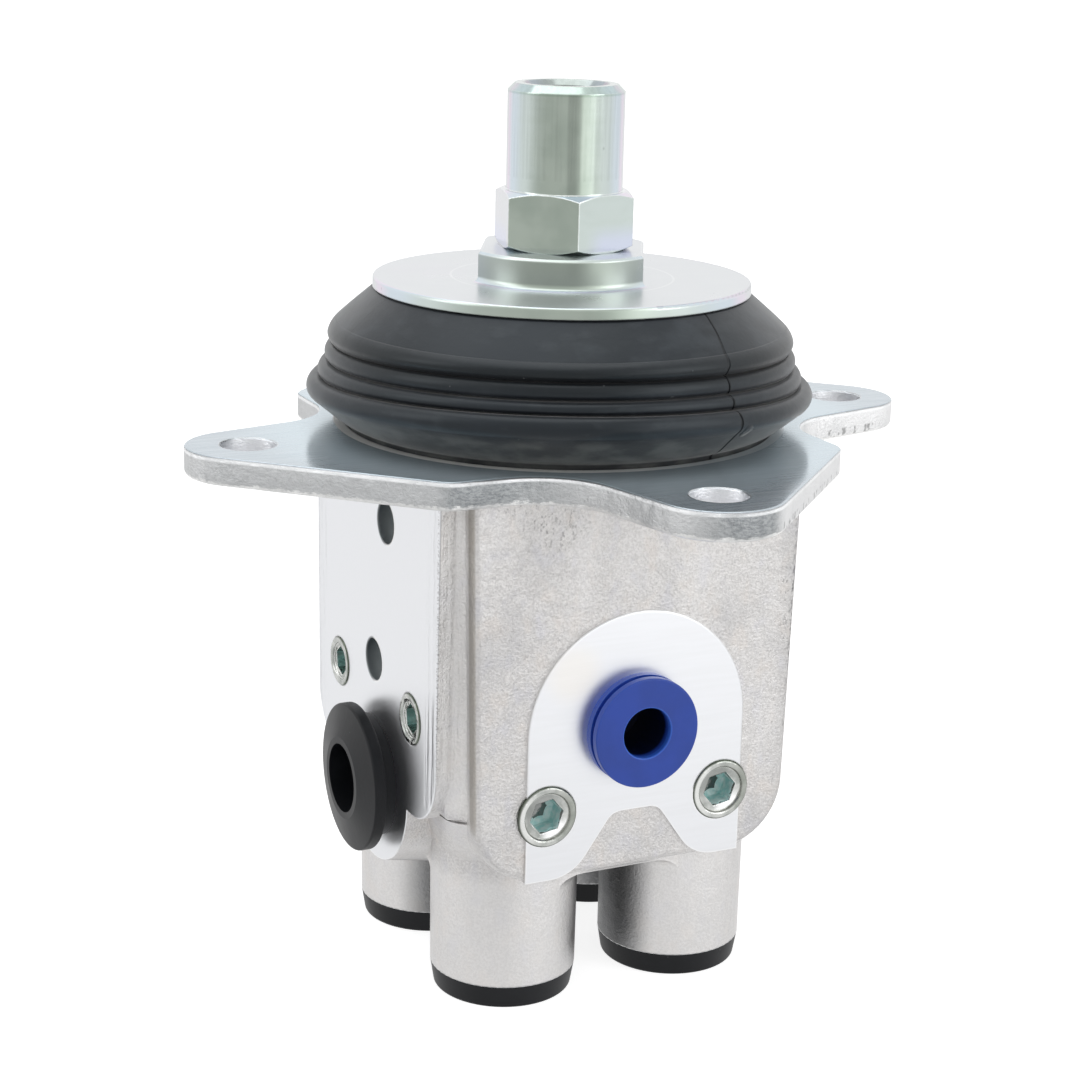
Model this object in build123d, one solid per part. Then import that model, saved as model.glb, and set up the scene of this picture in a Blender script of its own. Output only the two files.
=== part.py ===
from build123d import *
import math
import os

os.makedirs("parts", exist_ok=True)

# Hydraulic pilot joystick valve. Millimetres, +Z up along the upright lever.
# The origin is the centre of the four mounting holes, on the flange's top face.
# The pressure port is on the -Y face, the tank port on the -X face.

# Clearances
running_clearance = 0.05
seat_clearance = 0.05
moving_gap = 0.3
cut_overrun = 1.0

# Mounting flange, cast in one piece with the valve body
flange_thickness = 5.0
flange_underside_round = 1.0
flange_edge_round = 0.4
plate_half_width = 36.5
plate_corner_radius = 5.0
ear_pitch_radius = 58.1
ear_radius = 10.8
ear_side_angle = 45.0
ear_neck_angle = 13.5
ear_neck_fillet = 13.0
mount_hole_radius = 4.9

# Valve body: square block, one leg below each of its four reducing valves
valve_spacing = 16.9
leg_radius = 13.0
leg_end_z = -94.3
leg_draft = 0.4
block_corner_flat = 4.6
block_corner_round = 1.0
block_bottom_z = -62.0
block_bottom_round = 1.2
web_bottom_z = -75.0
web_inset = 0.9
web_top_inset = 1.0
web_top_round = 6.0
web_flare_z = -73.0
web_fillet = 2.4
casting_draft = 0.7
panel_rise = 1.6
front_face_reach = 34.0
front_panel_half_width = 31.3
front_panel_bottom_half_width = 29.8
front_panel_bottom_z = -72.8
front_panel_corner_radius = 12.0
front_pad_rise = 0.4
front_pad_radius = 20.8
front_notch_top_z = -62.0
front_notch_half_width = 4.4
front_notch_round = 3.2
front_notch_mouth = 11.9
front_notch_mouth_round = 8.0
side_face_reach = 35.2
side_panel_half_width = 28.9
side_panel_bottom_half_width = 27.8
side_panel_bottom_z = -64.0
side_panel_corner_radius = 10.0
plain_panel_half_width = 25.0
plain_panel_bottom_half_width = 24.0
panel_edge_round = 1.2
machined_edge_round = 0.3

# Boot seat in the flange's top face
boot_seat_depth = 0.6
boot_seat_gap = 0.4

# Ports and plugged drillings
pressure_port_z = -47.0
pressure_port_radius = 6.9
pressure_port_depth = 11.0
tank_port_z = -62.6
tank_port_radius = 8.6
tank_port_depth = 11.0
tank_boss_radius = 15.6
tank_boss_floor = 2.0
tank_boss_draft = 10.0
front_gallery_z = -61.0
side_gallery_z = -46.6
gallery_radius = 2.5
front_plug_radius = 5.5
side_plug_radius = 4.6
plug_length = 7.5
front_plug_socket = 5.6
side_plug_socket = 4.8
socket_depth = 4.5
plug_rim_rise = 0.3
plug_rim_width = 1.3
plug_face_sink = 0.5
plug_rim_round = 0.4
plug_key_angle = 10.0
upper_side_hole_y = -5.2
upper_side_hole_z = -14.6
lower_side_hole_z = -41.0
side_hole_radius = 3.8
side_hole_depth = 11.0
outlet_port_radius = 6.6
outlet_port_top_z = -80.0

# Reducing valve inside each leg
guide_bore_radius = 9.0
guide_bore_bottom_z = -23.0
spring_chamber_radius = 8.0
spring_chamber_bottom_z = -53.0
spool_radius = 4.4
spool_bottom_z = -79.0
spool_land_length = 6.0
spool_waist_radius = 3.1
spool_waist_length = 5.0
spool_stem_radius = 1.8
spool_shoulder_z = -47.5
spool_head_radius = 2.7
spool_head_length = 2.0
spool_head_lift = 6.3
plunger_radius = 4.5
plunger_dome_radius = 6.0
plunger_bottom_z = -34.5
plunger_socket_radius = 3.1
plunger_socket_depth = 15.5
spring_seat_radius = 7.5
spring_seat_thickness = 2.5
spring_seat_chamfer = 0.4
spring_seat_lip = 0.4
return_spring_radius = 6.6
return_spring_wire = 0.9
return_spring_turns = 5
metering_spring_radius = 3.9
metering_spring_wire = 0.6
metering_spring_turns = 6
guide_head_radius = 7.2
guide_top_z = 8.0
guide_top_chamfer = 0.5
wiper_outer_radius = 6.2
wiper_depth = 2.5
wiper_lip_width = 0.8
wiper_lip_rise = 0.6
seal_section_radius = 0.9
seal_groove_play = 0.2
seal_z = -10.0

# Cover plate that clamps the four guides
cover_rim_width = 3.45
cover_thickness = 4.0
cover_centre_radius = 12.0
cover_edge_chamfer = 0.6

# Universal joint and swash disc
pivot_z = 10.8
joint_pin_radius = 1.9
joint_ear_radius = 4.0
joint_ear_gap = 5.0
joint_ear_thickness = 3.5
joint_block_height = 6.0
joint_stem_radius = 5.9
joint_stem_length = 18.0
joint_foot_radius = 11.5
joint_foot_thickness = 3.0
joint_block_chamfer = 1.5
joint_turn = 45.0
yoke_hub_radius = 9.5
yoke_hub_bottom_z = 18.0
stud_radius = 6.0
stud_top_z = 45.0
stud_chamfer = 0.8
disc_underside_z = 23.8
disc_top_z = 25.7
disc_radius = 33.3
disc_edge_round = 0.5
boss_radius = 16.8
boss_top_z = 31.0
boss_half_flats = 14.2
boss_flats_angle = 152.0
boss_foot_fillet = 1.0
boss_top_chamfer = 0.4

# Lever coupling screwed on the stud
hex_across_flats = 22.0
hex_top_z = 41.0
hex_corner_angle = -104.2
coupling_radius = 10.2
coupling_top_z = 59.2
coupling_chamfer = 1.2
lever_thread_radius = 6.5
lever_thread_chamfer = 1.0
hex_end_cut = 1.7
hex_end_height = 0.9

# Closing pieces
outlet_cap_height = 4.2
outlet_cap_stem_length = 8.0
outlet_cap_edge_radius = 12.3
outlet_cap_round = 0.5
port_plug_flange_radius = 9.8
port_plug_bore_radius = 4.5
port_plug_lip = 1.3
port_plug_groove = 1.0
port_plug_groove_depth = 1.3
tank_plug_rim_radius = 13.3
tank_plug_neck_radius = 11.0
tank_plug_neck_length = 2.6
tank_plug_rim_length = 2.2
tank_plug_cone_length = 1.4
tank_plug_bore_radius = 6.2
tank_plug_lip = 1.2
tank_plug_round = 0.4
port_plug_floor = 1.4
port_plug_end_gap = 1.5
port_plug_round = 0.25

# Rubber boot: outer profile from the disc down to the flange, as (reach past its foot, height)
boot_wall = 1.8
boot_top_inset = 0.3
boot_shoulder = (2.1, 18.0)
boot_bulge = (3.16, 15.8)
boot_grooves = ((2.6, 13.9), (3.2, 10.8), (4.5, 7.9))
boot_rings = ((3.7, 12.3), (4.9, 9.35), (7.0, 6.1))
boot_skirt = (6.0, 4.7)
boot_foot_width = 3.0
boot_foot_height = 1.0

# Places worked out from the sizes above
front_panel_reach = front_face_reach - front_pad_rise
block_half_width = front_panel_reach - panel_rise
block_half_length = side_face_reach - panel_rise
cover_radius = valve_spacing * math.sqrt(2) + guide_head_radius + seat_clearance + cover_rim_width
boot_foot_radius = cover_radius + moving_gap + boot_foot_width
boot_seat_radius = boot_foot_radius + boot_seat_gap
boot_top_radius = disc_radius - boot_top_inset
front_plane = Plane.XZ
side_plane = Plane(origin=(0, 0, 0), x_dir=(0, -1, 0), z_dir=(-1, 0, 0))
cover_top_z = cover_thickness - boot_seat_depth
corner_names = {
    "front_left": (-1, -1),
    "front_right": (1, -1),
    "rear_right": (1, 1),
    "rear_left": (-1, 1),
}


def upright(radius, low, high, x=0, y=0):
    """Cylinder about a vertical axis between two heights."""
    return Pos(x, y, (low + high) / 2) * Cylinder(radius, high - low)


def along_y(radius, start, end, x, z):
    """Cylinder parallel to Y between two Y values."""
    return Pos(x, (start + end) / 2, z) * Rot(90, 0, 0) * Cylinder(radius, abs(end - start))


def along_x(radius, start, end, y, z):
    """Cylinder parallel to X between two X values."""
    return Pos((start + end) / 2, y, z) * Rot(0, 90, 0) * Cylinder(radius, abs(end - start))


def slab(outline, low, high):
    """Flat XY outline raised between two heights."""
    return extrude(Pos(0, 0, low) * outline, high - low)


def ring_profile(points):
    """Closed (radius, height) outline turned into a body about Z."""
    return revolve(Plane.XZ * make_face(Polyline(*points, close=True)), Axis.Z)


def at_valves():
    """The X, Y places of the four valve axes."""
    return [(sx * valve_spacing, sy * valve_spacing) for sx, sy in corner_names.values()]


def lines_meet(angle_1, offset_1, angle_2, offset_2):
    """Crossing of two lines, each given by its normal's angle and its distance from the origin."""
    one = math.radians(angle_1)
    two = math.radians(angle_2)
    spread = math.sin(two - one)
    x = (offset_1 * math.sin(two) - offset_2 * math.sin(one)) / spread
    y = (offset_2 * math.cos(one) - offset_1 * math.cos(two)) / spread
    return Vector(x, y)


def flange_outline():
    """Square plate with four ears, each straight on one side and waisted on the other."""
    straight = 180 + ear_side_angle
    waisted = 90 + ear_neck_angle
    straight_offset = ear_radius + ear_pitch_radius * math.cos(math.radians(ear_side_angle))
    waisted_offset = ear_radius + ear_pitch_radius * math.sin(math.radians(ear_neck_angle))
    corners = [
        (lines_meet(180, plate_half_width, waisted, waisted_offset), ear_neck_fillet),
        (lines_meet(waisted, waisted_offset, straight, straight_offset), ear_radius),
        (lines_meet(straight, straight_offset, 270, plate_half_width), plate_corner_radius),
    ]
    points = [(corner.rotate(Axis.Z, 90 * turn), radius) for turn in range(4) for corner, radius in corners]
    outline = make_face(Polyline(*[point for point, radius in points], close=True))
    outline = Sketch() + outline
    for point, radius in points:
        outline = fillet(outline.vertices().sort_by_distance(point)[0], radius)
    return outline


def flange_plate():
    plate = slab(flange_outline(), -flange_thickness, 0)
    plate = fillet(plate.faces().sort_by(Axis.Z)[0].edges(), flange_underside_round)
    plate = fillet(plate.faces().sort_by(Axis.Z)[-1].edges(), flange_edge_round)
    for turn in range(4):
        hole = upright(mount_hole_radius, -flange_thickness, 0, -ear_pitch_radius, 0)
        plate -= Rot(0, 0, 90 * turn) * hole
    return plate


def block():
    """Casting under the flange, flattened at its corners and tapered for the mould."""
    outline = Rectangle(2 * block_half_length, 2 * block_half_width)
    outline = chamfer(outline.vertices(), block_corner_flat)
    outline = fillet(outline.vertices(), block_corner_round)
    height = flange_thickness + block_bottom_z
    body = extrude(Pos(0, 0, -flange_thickness) * outline, height, taper=casting_draft)
    return fillet(body.edges().group_by(Axis.Z)[0], block_bottom_round)


def web():
    """Lower casting round the four legs, flared from their rounds to the block's square."""
    length = 2 * (block_half_length - web_top_inset)
    depth = 2 * (block_half_width - web_top_inset)
    square = RectangleRounded(length, depth, web_top_round)
    width = 2 * (valve_spacing + leg_radius - web_inset)
    rounds = RectangleRounded(width, width, leg_radius - web_inset)
    flare = loft([Pos(0, 0, web_flare_z) * rounds, Pos(0, 0, block_bottom_z) * square], ruled=True)
    return flare + slab(rounds, web_bottom_z, web_flare_z)


def legs():
    body = None
    height = block_bottom_z - leg_end_z
    growth = height * math.tan(math.radians(leg_draft))
    for x, y in at_valves():
        leg = Pos(x, y, (block_bottom_z + leg_end_z) / 2) * Cone(leg_radius, leg_radius + growth, height)
        body = leg if body is None else body + leg
    return body


def panel_outline(top_half_width, bottom_half_width, bottom_z, corner_radius):
    """Panel below the flange, narrower at the bottom and rounded at its lower corners."""
    panel = make_face(Polyline(
        (-top_half_width, 0), (top_half_width, 0), (bottom_half_width, bottom_z),
        (-bottom_half_width, bottom_z), close=True))
    panel = Sketch() + panel
    return fillet(panel.vertices().group_by(Axis.Y)[0], corner_radius)


def front_panel():
    """Raised cast panel on the -Y face."""
    outline = panel_outline(
        front_panel_half_width, front_panel_bottom_half_width,
        front_panel_bottom_z, front_panel_corner_radius)
    panel = extrude(front_plane * outline, front_panel_reach)
    return fillet(panel.faces().sort_by(Axis.Y)[0].edges(), panel_edge_round)


def plain_panels():
    """Raised cast panels on the two faces without ports, rear and right."""
    outline = panel_outline(
        plain_panel_half_width, plain_panel_bottom_half_width, side_panel_bottom_z, side_panel_corner_radius)
    rear = extrude(Plane.XZ * outline, -block_half_width - panel_rise)
    rear = fillet(rear.faces().sort_by(Axis.Y)[-1].edges(), panel_edge_round)
    right = extrude(Plane.YZ * outline, block_half_length + panel_rise)
    right = fillet(right.faces().sort_by(Axis.X)[-1].edges(), panel_edge_round)
    return rear + right


def front_pad_outline():
    """Machined face: round over the pressure port, notched between the two drilled galleries."""
    top = Pos(0, pressure_port_z) * Circle(front_pad_radius)
    depth = pressure_port_z - front_panel_bottom_z
    pad = top + Pos(0, pressure_port_z - depth / 2) * Rectangle(2 * front_pad_radius, depth)
    pad -= make_face(Polyline(
        (-front_notch_half_width, front_notch_top_z), (front_notch_half_width, front_notch_top_z),
        (front_notch_mouth, front_panel_bottom_z), (-front_notch_mouth, front_panel_bottom_z), close=True))
    for x in (-front_notch_half_width, front_notch_half_width):
        pad = fillet(pad.vertices().sort_by_distance((x, front_notch_top_z))[0], front_notch_round)
    for x in (-front_notch_mouth, front_notch_mouth):
        pad = fillet(pad.vertices().sort_by_distance((x, front_panel_bottom_z))[0], front_notch_mouth_round)
    return pad


def front_pad():
    depth = front_pad_rise + panel_edge_round
    return extrude(front_plane * Pos(0, 0, front_face_reach - depth) * front_pad_outline(), depth)


def side_panel():
    """Machined panel on the -X face with the boss of the tank port."""
    outline = panel_outline(
        side_panel_half_width, side_panel_bottom_half_width, side_panel_bottom_z, side_panel_corner_radius)
    panel = extrude(side_plane * outline, side_face_reach)
    panel = fillet(panel.faces().sort_by(Axis.X)[0].edges(), machined_edge_round)
    return panel + tank_boss()


def tank_boss():
    """Round boss of the tank port, widening into the casting."""
    face = Pos(0, tank_port_z, side_face_reach) * Circle(tank_boss_radius)
    return extrude(side_plane * face, -tank_port_depth - tank_boss_floor, taper=-tank_boss_draft)


def body_bores():
    """Everything drilled out of the casting."""
    bores = upright(joint_stem_radius + seat_clearance, -joint_stem_length - cut_overrun, 0)
    bores += upright(boot_seat_radius, -boot_seat_depth, cut_overrun)
    for x, y in at_valves():
        bores += upright(guide_bore_radius, guide_bore_bottom_z, 0, x, y)
        bores += upright(spring_chamber_radius, spring_chamber_bottom_z, guide_bore_bottom_z, x, y)
        bores += upright(spool_radius + running_clearance, outlet_port_top_z, spring_chamber_bottom_z, x, y)
        bores += upright(outlet_port_radius, leg_end_z, outlet_port_top_z, x, y)
    front = -front_face_reach
    side = -side_face_reach
    bores += along_y(pressure_port_radius, front, front + pressure_port_depth, 0, pressure_port_z)
    bores += along_x(tank_port_radius, side, side + tank_port_depth, 0, tank_port_z)
    bores += along_x(side_hole_radius, side, side + side_hole_depth, upper_side_hole_y, upper_side_hole_z)
    bores += along_x(side_hole_radius, side, side + side_hole_depth, 0, lower_side_hole_z)
    for sign in (-1, 1):
        place = sign * valve_spacing
        bores += along_y(front_plug_radius, front, front + plug_length, place, front_gallery_z)
        bores += along_y(gallery_radius, front, valve_spacing, place, front_gallery_z)
        bores += along_x(side_plug_radius, side, side + plug_length, place, side_gallery_z)
        bores += along_x(gallery_radius, side, valve_spacing, place, side_gallery_z)
    return bores


def legs_on_web():
    """Legs and web in one, with a cast fillet where each leg leaves the web."""
    lower = web() + legs()
    ends, roots = lower.edges().filter_by(GeomType.CIRCLE).group_by(Axis.Z)[:2]
    third_of_gap = 2 * (valve_spacing - leg_radius) / 3
    return fillet(roots, min(web_fillet, third_of_gap))


def valve_body():
    casting = block() + legs_on_web() + plain_panels() + front_panel() + side_panel() + front_pad()
    casting += flange_plate()
    return casting - body_bores()


def cover_plate():
    low = -boot_seat_depth
    plate = upright(cover_radius, low, cover_top_z)
    plate = chamfer(plate.edges().group_by(Axis.Z)[-1], cover_edge_chamfer)
    plate -= upright(cover_centre_radius, low, cover_top_z)
    for x, y in at_valves():
        plate -= upright(guide_head_radius + seat_clearance, low, cover_top_z, x, y)
    return plate


def plunger_guide():
    """Sleeve that seals the valve bore and guides the plunger."""
    bottom = guide_bore_bottom_z
    sleeve = upright(guide_bore_radius - seat_clearance, bottom, -boot_seat_depth)
    sleeve += upright(guide_head_radius, -boot_seat_depth, guide_top_z)
    sleeve = chamfer(sleeve.edges().group_by(Axis.Z)[-1], guide_top_chamfer)
    sleeve -= upright(plunger_radius + running_clearance, bottom, guide_top_z)
    sleeve -= upright(wiper_outer_radius, guide_top_z - wiper_depth, guide_top_z)
    low = seal_z - seal_section_radius - seal_groove_play
    high = seal_z + seal_section_radius + seal_groove_play
    core = upright(guide_bore_radius - 2 * seal_section_radius - 2 * seat_clearance, low, high)
    return sleeve - (upright(guide_bore_radius, low, high) - core)


def guide_seal():
    centre = guide_bore_radius - seal_section_radius - seat_clearance
    return Pos(0, 0, seal_z) * Torus(centre, seal_section_radius)


def wiper_seal():
    low = guide_top_z - wiper_depth
    lip = plunger_radius + moving_gap
    outer = wiper_outer_radius - seat_clearance
    high = guide_top_z + wiper_lip_rise
    return ring_profile([
        (lip, low), (outer, low), (outer, guide_top_z), (lip + wiper_lip_width, high), (lip, high)])


def plunger():
    """Push rod with a domed top under the swash disc and a socket for the spool's head."""
    apex = disc_underside_z - moving_gap
    rod = upright(plunger_radius, plunger_bottom_z, apex)
    ball = Pos(0, 0, apex - plunger_dome_radius) * Sphere(plunger_dome_radius)
    below = upright(plunger_radius, plunger_bottom_z, apex - plunger_dome_radius)
    rod = (rod & ball) + below
    return rod - upright(plunger_socket_radius, plunger_bottom_z, plunger_bottom_z + plunger_socket_depth)


def spring_seat():
    """Washer under the plunger that both springs push on."""
    high = plunger_bottom_z
    low = high - spring_seat_thickness
    seat = upright(spring_seat_radius, low, high)
    seat = chamfer(seat.edges().group_by(Axis.Z)[-1], spring_seat_chamfer)
    return seat - upright(spool_head_radius - spring_seat_lip, low, high)


def coil(radius, wire, turns, low, high):
    """Compression spring of round wire between two seats."""
    start = low + wire
    pitch = (high - low - 2 * wire) / turns
    path = Helix(pitch, pitch * turns, radius)
    section = Plane(origin=path @ 0, z_dir=path % 0) * RegularPolygon(wire, 6)
    return Pos(0, 0, start) * sweep(section, path, is_frenet=True)


def return_spring():
    high = plunger_bottom_z - spring_seat_thickness
    return coil(return_spring_radius, return_spring_wire, return_spring_turns, spring_chamber_bottom_z, high)


def metering_spring():
    high = plunger_bottom_z - spring_seat_thickness
    return coil(metering_spring_radius, metering_spring_wire, metering_spring_turns, spool_shoulder_z, high)


def spool():
    """Metering spool: lands and waists below, a stem and a hanging head above."""
    head_low = plunger_bottom_z + spool_head_lift
    body = upright(spool_radius, spool_bottom_z, spool_shoulder_z)
    low = spool_bottom_z + spool_land_length
    for step in range(2):
        high = low + spool_waist_length
        body -= upright(spool_radius, low, high) - upright(spool_waist_radius, low, high)
        low = high + spool_land_length
    body += upright(spool_stem_radius, spool_shoulder_z, head_low)
    body += upright(spool_head_radius, head_low, head_low + spool_head_length)
    return body


def outlet_cap():
    """Push-in cap that closes the port at the end of a leg."""
    low = leg_end_z - outlet_cap_height
    edge = Pos(0, 0, (low + leg_end_z) / 2) * Cone(outlet_cap_edge_radius, leg_radius, outlet_cap_height)
    edge = fillet(edge.edges().group_by(Axis.Z)[0], outlet_cap_round)
    stem = upright(outlet_port_radius - seat_clearance, leg_end_z, leg_end_z + outlet_cap_stem_length)
    return edge + stem


def hex_prism(across, low, high, angle):
    shape = Pos(0, 0, low) * Rot(0, 0, angle) * RegularPolygon(across / 2, 6, major_radius=False)
    return extrude(shape, high - low)


def gallery_plug(radius, across):
    """Socket plug with a raised round rim, built on Z with the drilled face at zero."""
    face = plug_rim_rise - plug_face_sink
    plug = upright(radius - seat_clearance, -plug_length, plug_rim_rise)
    plug -= upright(radius - plug_rim_width, face, plug_rim_rise)
    plug = fillet(plug.edges().group_by(Axis.Z)[-1], plug_rim_round)
    return plug - hex_prism(across, plug_rim_rise - socket_depth, face, plug_key_angle)


def face_front(shape, x, z):
    """Stand a Z-built piece on the -Y face."""
    return Pos(x, -front_face_reach, z) * Rot(90, 0, 0) * shape


def face_side(shape, y, z):
    """Stand a Z-built piece on the -X face."""
    return Pos(-side_face_reach, y, z) * Rot(0, -90, 0) * shape


def pressure_plug():
    """Moulded push-in plug with two thin flanges and a deep blind hole."""
    outer = port_plug_flange_radius
    neck = outer - port_plug_groove_depth
    back = port_plug_lip
    front = port_plug_lip + port_plug_groove
    top = 2 * port_plug_lip + port_plug_groove
    stem = pressure_port_radius - seat_clearance
    foot = -pressure_port_depth + port_plug_end_gap
    floor = foot + port_plug_floor
    bore = port_plug_bore_radius
    plug = ring_profile([
        (0, foot), (stem, foot), (stem, 0), (outer, 0), (outer, back), (neck, back), (neck, front),
        (outer, front), (outer, top), (bore, top), (bore, floor), (0, floor),
    ])
    return fillet(plug.edges().group_by(Axis.Z)[-1], port_plug_round)


def tank_plug():
    """Rubber push-in plug with a coned rim and a wide blind hole."""
    rim_low = tank_plug_neck_length
    rim_high = rim_low + tank_plug_rim_length
    top = rim_high + tank_plug_cone_length
    stem = tank_port_radius - seat_clearance
    foot = -tank_port_depth + port_plug_end_gap
    bore = tank_plug_bore_radius
    floor = foot + port_plug_floor
    plug = ring_profile([
        (0, foot), (stem, foot), (stem, 0), (tank_plug_neck_radius, 0), (tank_plug_neck_radius, rim_low),
        (tank_plug_rim_radius, rim_low), (tank_plug_rim_radius, rim_high), (bore + tank_plug_lip, top),
        (bore, top), (bore, floor), (0, floor),
    ])
    rims = plug.edges().filter_by(GeomType.CIRCLE).group_by(SortBy.RADIUS)[-1]
    return fillet(rims, tank_plug_round)


def boot():
    """Bellows boot: closed shell between the cover plate and the swash disc."""
    top = disc_underside_z - moving_gap
    foot = -boot_seat_depth
    marks = [boot_shoulder, boot_bulge, *boot_grooves, *boot_rings, boot_skirt]
    shoulder, bulge, g1, g2, g3, r1, r2, r3, skirt = [(boot_foot_radius + out, z) for out, z in marks]
    outer = Polyline((boot_top_radius, top), shoulder)
    outer += ThreePointArc(shoulder, bulge, g1)
    outer += ThreePointArc(g1, r1, g2)
    outer += ThreePointArc(g2, r2, g3)
    outer += ThreePointArc(g3, r3, skirt)
    inner_foot = boot_foot_radius - boot_foot_width
    wall = boot_wall
    outer += Polyline(
        skirt, (boot_foot_radius, moving_gap), (boot_foot_radius, foot), (inner_foot, foot),
        (inner_foot, boot_foot_height), (g3[0] - wall, r3[1]), (g3[0] - wall, g3[1]),
        (g1[0] - wall, g1[1]), (shoulder[0] - wall, shoulder[1] - wall),
        (boot_top_radius - wall, top - wall), (boot_top_radius - wall, top), (boot_top_radius, top),
    )
    return revolve(Plane.XZ * make_face(outer), Axis.Z)


def joint_ears(low, high):
    """Pair of ears across X, rounded about the pin and bored for it."""
    pair = None
    for sign in (-1, 1):
        middle = sign * (joint_ear_gap + joint_ear_thickness / 2)
        ear = along_x(joint_ear_radius, middle - joint_ear_thickness / 2,
                      middle + joint_ear_thickness / 2, 0, pivot_z)
        post = Pos(middle, 0, (low + high) / 2) * Box(joint_ear_thickness, 2 * joint_ear_radius, high - low)
        piece = ear + post
        pair = piece if pair is None else pair + piece
    reach = joint_ear_gap + joint_ear_thickness
    return pair - along_x(joint_pin_radius + running_clearance, -reach, reach, 0, pivot_z)


def joint_base():
    """Fixed yoke of the universal joint, screwed into the body through the cover."""
    low = -boot_seat_depth
    foot_top = low + joint_foot_thickness
    base = upright(joint_stem_radius, low - joint_stem_length + boot_seat_depth, low)
    base += upright(joint_foot_radius, low, foot_top)
    base += joint_ears(foot_top, pivot_z)
    return Rot(0, 0, joint_turn) * base


def joint_cross():
    """Spider with four pins that carries the yoke on the base."""
    block_width = 2 * (joint_ear_gap - moving_gap)
    cross = Pos(0, 0, pivot_z) * Box(block_width, block_width, joint_block_height)
    cross = chamfer(cross.edges().filter_by(Axis.Z), joint_block_chamfer)
    reach = joint_ear_gap + joint_ear_thickness
    cross += along_x(joint_pin_radius, -reach, reach, 0, pivot_z)
    cross += along_y(joint_pin_radius, -reach, reach, 0, pivot_z)
    return Rot(0, 0, joint_turn) * cross


def joint_yoke():
    """Moving yoke with the stud that carries the disc and the coupling."""
    yoke = Rot(0, 0, 90) * joint_ears(pivot_z, yoke_hub_bottom_z)
    yoke += upright(yoke_hub_radius, yoke_hub_bottom_z, disc_underside_z)
    yoke += upright(stud_radius, disc_underside_z, stud_top_z)
    yoke = chamfer(yoke.edges().group_by(Axis.Z)[-1], stud_chamfer)
    return Rot(0, 0, joint_turn) * yoke


def swash_disc():
    """Disc that presses the plungers, with a flatted boss for a spanner."""
    disc = upright(disc_radius, disc_underside_z, disc_top_z)
    disc = fillet(disc.edges().group_by(Axis.Z)[-1], disc_edge_round)
    flats = Rot(0, 0, boss_flats_angle) * Rectangle(2 * boss_half_flats, 2 * boss_radius)
    disc += slab(Circle(boss_radius) & flats, disc_top_z, boss_top_z)
    plain_top = disc.faces().filter_by(Axis.Z).group_by(Axis.Z)[1][0]
    disc = fillet(plain_top.inner_wires()[0].edges(), boss_foot_fillet)
    disc = chamfer(disc.edges().group_by(Axis.Z)[-1], boss_top_chamfer)
    return disc - upright(stud_radius + seat_clearance, disc_underside_z, boss_top_z)


def lever_coupling():
    """Hexagon nut and threaded sleeve in one piece; the handle's rod screws into its top."""
    corner = hex_across_flats / math.sqrt(3)
    middle = (boss_top_z + hex_top_z) / 2
    hexagon = hex_prism(hex_across_flats, boss_top_z, hex_top_z, hex_corner_angle)
    turned = upright(corner, boss_top_z, hex_top_z)
    turned = chamfer(turned.edges().group_by(Axis.Z)[0], hex_end_height, hex_end_cut)
    turned = chamfer(turned.edges().group_by(Axis.Z)[-1], hex_end_height, hex_end_cut)
    sleeve = upright(coupling_radius, middle, coupling_top_z)
    sleeve = chamfer(sleeve.edges().group_by(Axis.Z)[-1], coupling_chamfer)
    body = (hexagon & turned) + sleeve
    body -= upright(stud_radius + seat_clearance, boss_top_z, stud_top_z)
    body -= upright(lever_thread_radius, stud_top_z, coupling_top_z)
    mouth = body.edges().filter_by(GeomType.CIRCLE).group_by(Axis.Z)[-1].sort_by(SortBy.RADIUS)[0]
    return chamfer(mouth, lever_thread_chamfer)


def save(name, shape):
    export_step(shape, os.path.join("parts", name + ".step"))


save("valve_body", valve_body())
save("cover_plate", cover_plate())
save("boot", boot())
save("joint_base", joint_base())
save("joint_cross", joint_cross())
save("joint_yoke", joint_yoke())
save("swash_disc", swash_disc())
save("lever_coupling", lever_coupling())
save("pressure_port_plug", face_front(pressure_plug(), 0, pressure_port_z))
save("tank_port_plug", face_side(tank_plug(), 0, tank_port_z))

front_plug = gallery_plug(front_plug_radius, front_plug_socket)
side_plug = gallery_plug(side_plug_radius, side_plug_socket)
save("front_gallery_plug_left", face_front(front_plug, -valve_spacing, front_gallery_z))
save("front_gallery_plug_right", face_front(front_plug, valve_spacing, front_gallery_z))
save("side_gallery_plug_front", face_side(side_plug, -valve_spacing, side_gallery_z))
save("side_gallery_plug_rear", face_side(side_plug, valve_spacing, side_gallery_z))

valve_pieces = {
    "plunger_guide": plunger_guide(),
    "guide_seal": guide_seal(),
    "wiper_seal": wiper_seal(),
    "plunger": plunger(),
    "spring_seat": spring_seat(),
    "return_spring": return_spring(),
    "metering_spring": metering_spring(),
    "spool": spool(),
    "outlet_cap": outlet_cap(),
}
for corner, (sx, sy) in corner_names.items():
    for piece, shape in valve_pieces.items():
        save(piece + "_" + corner, Pos(sx * valve_spacing, sy * valve_spacing, 0) * shape)
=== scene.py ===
import math

import bmesh
import bpy
from mathutils import Matrix, Vector, noise


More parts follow.
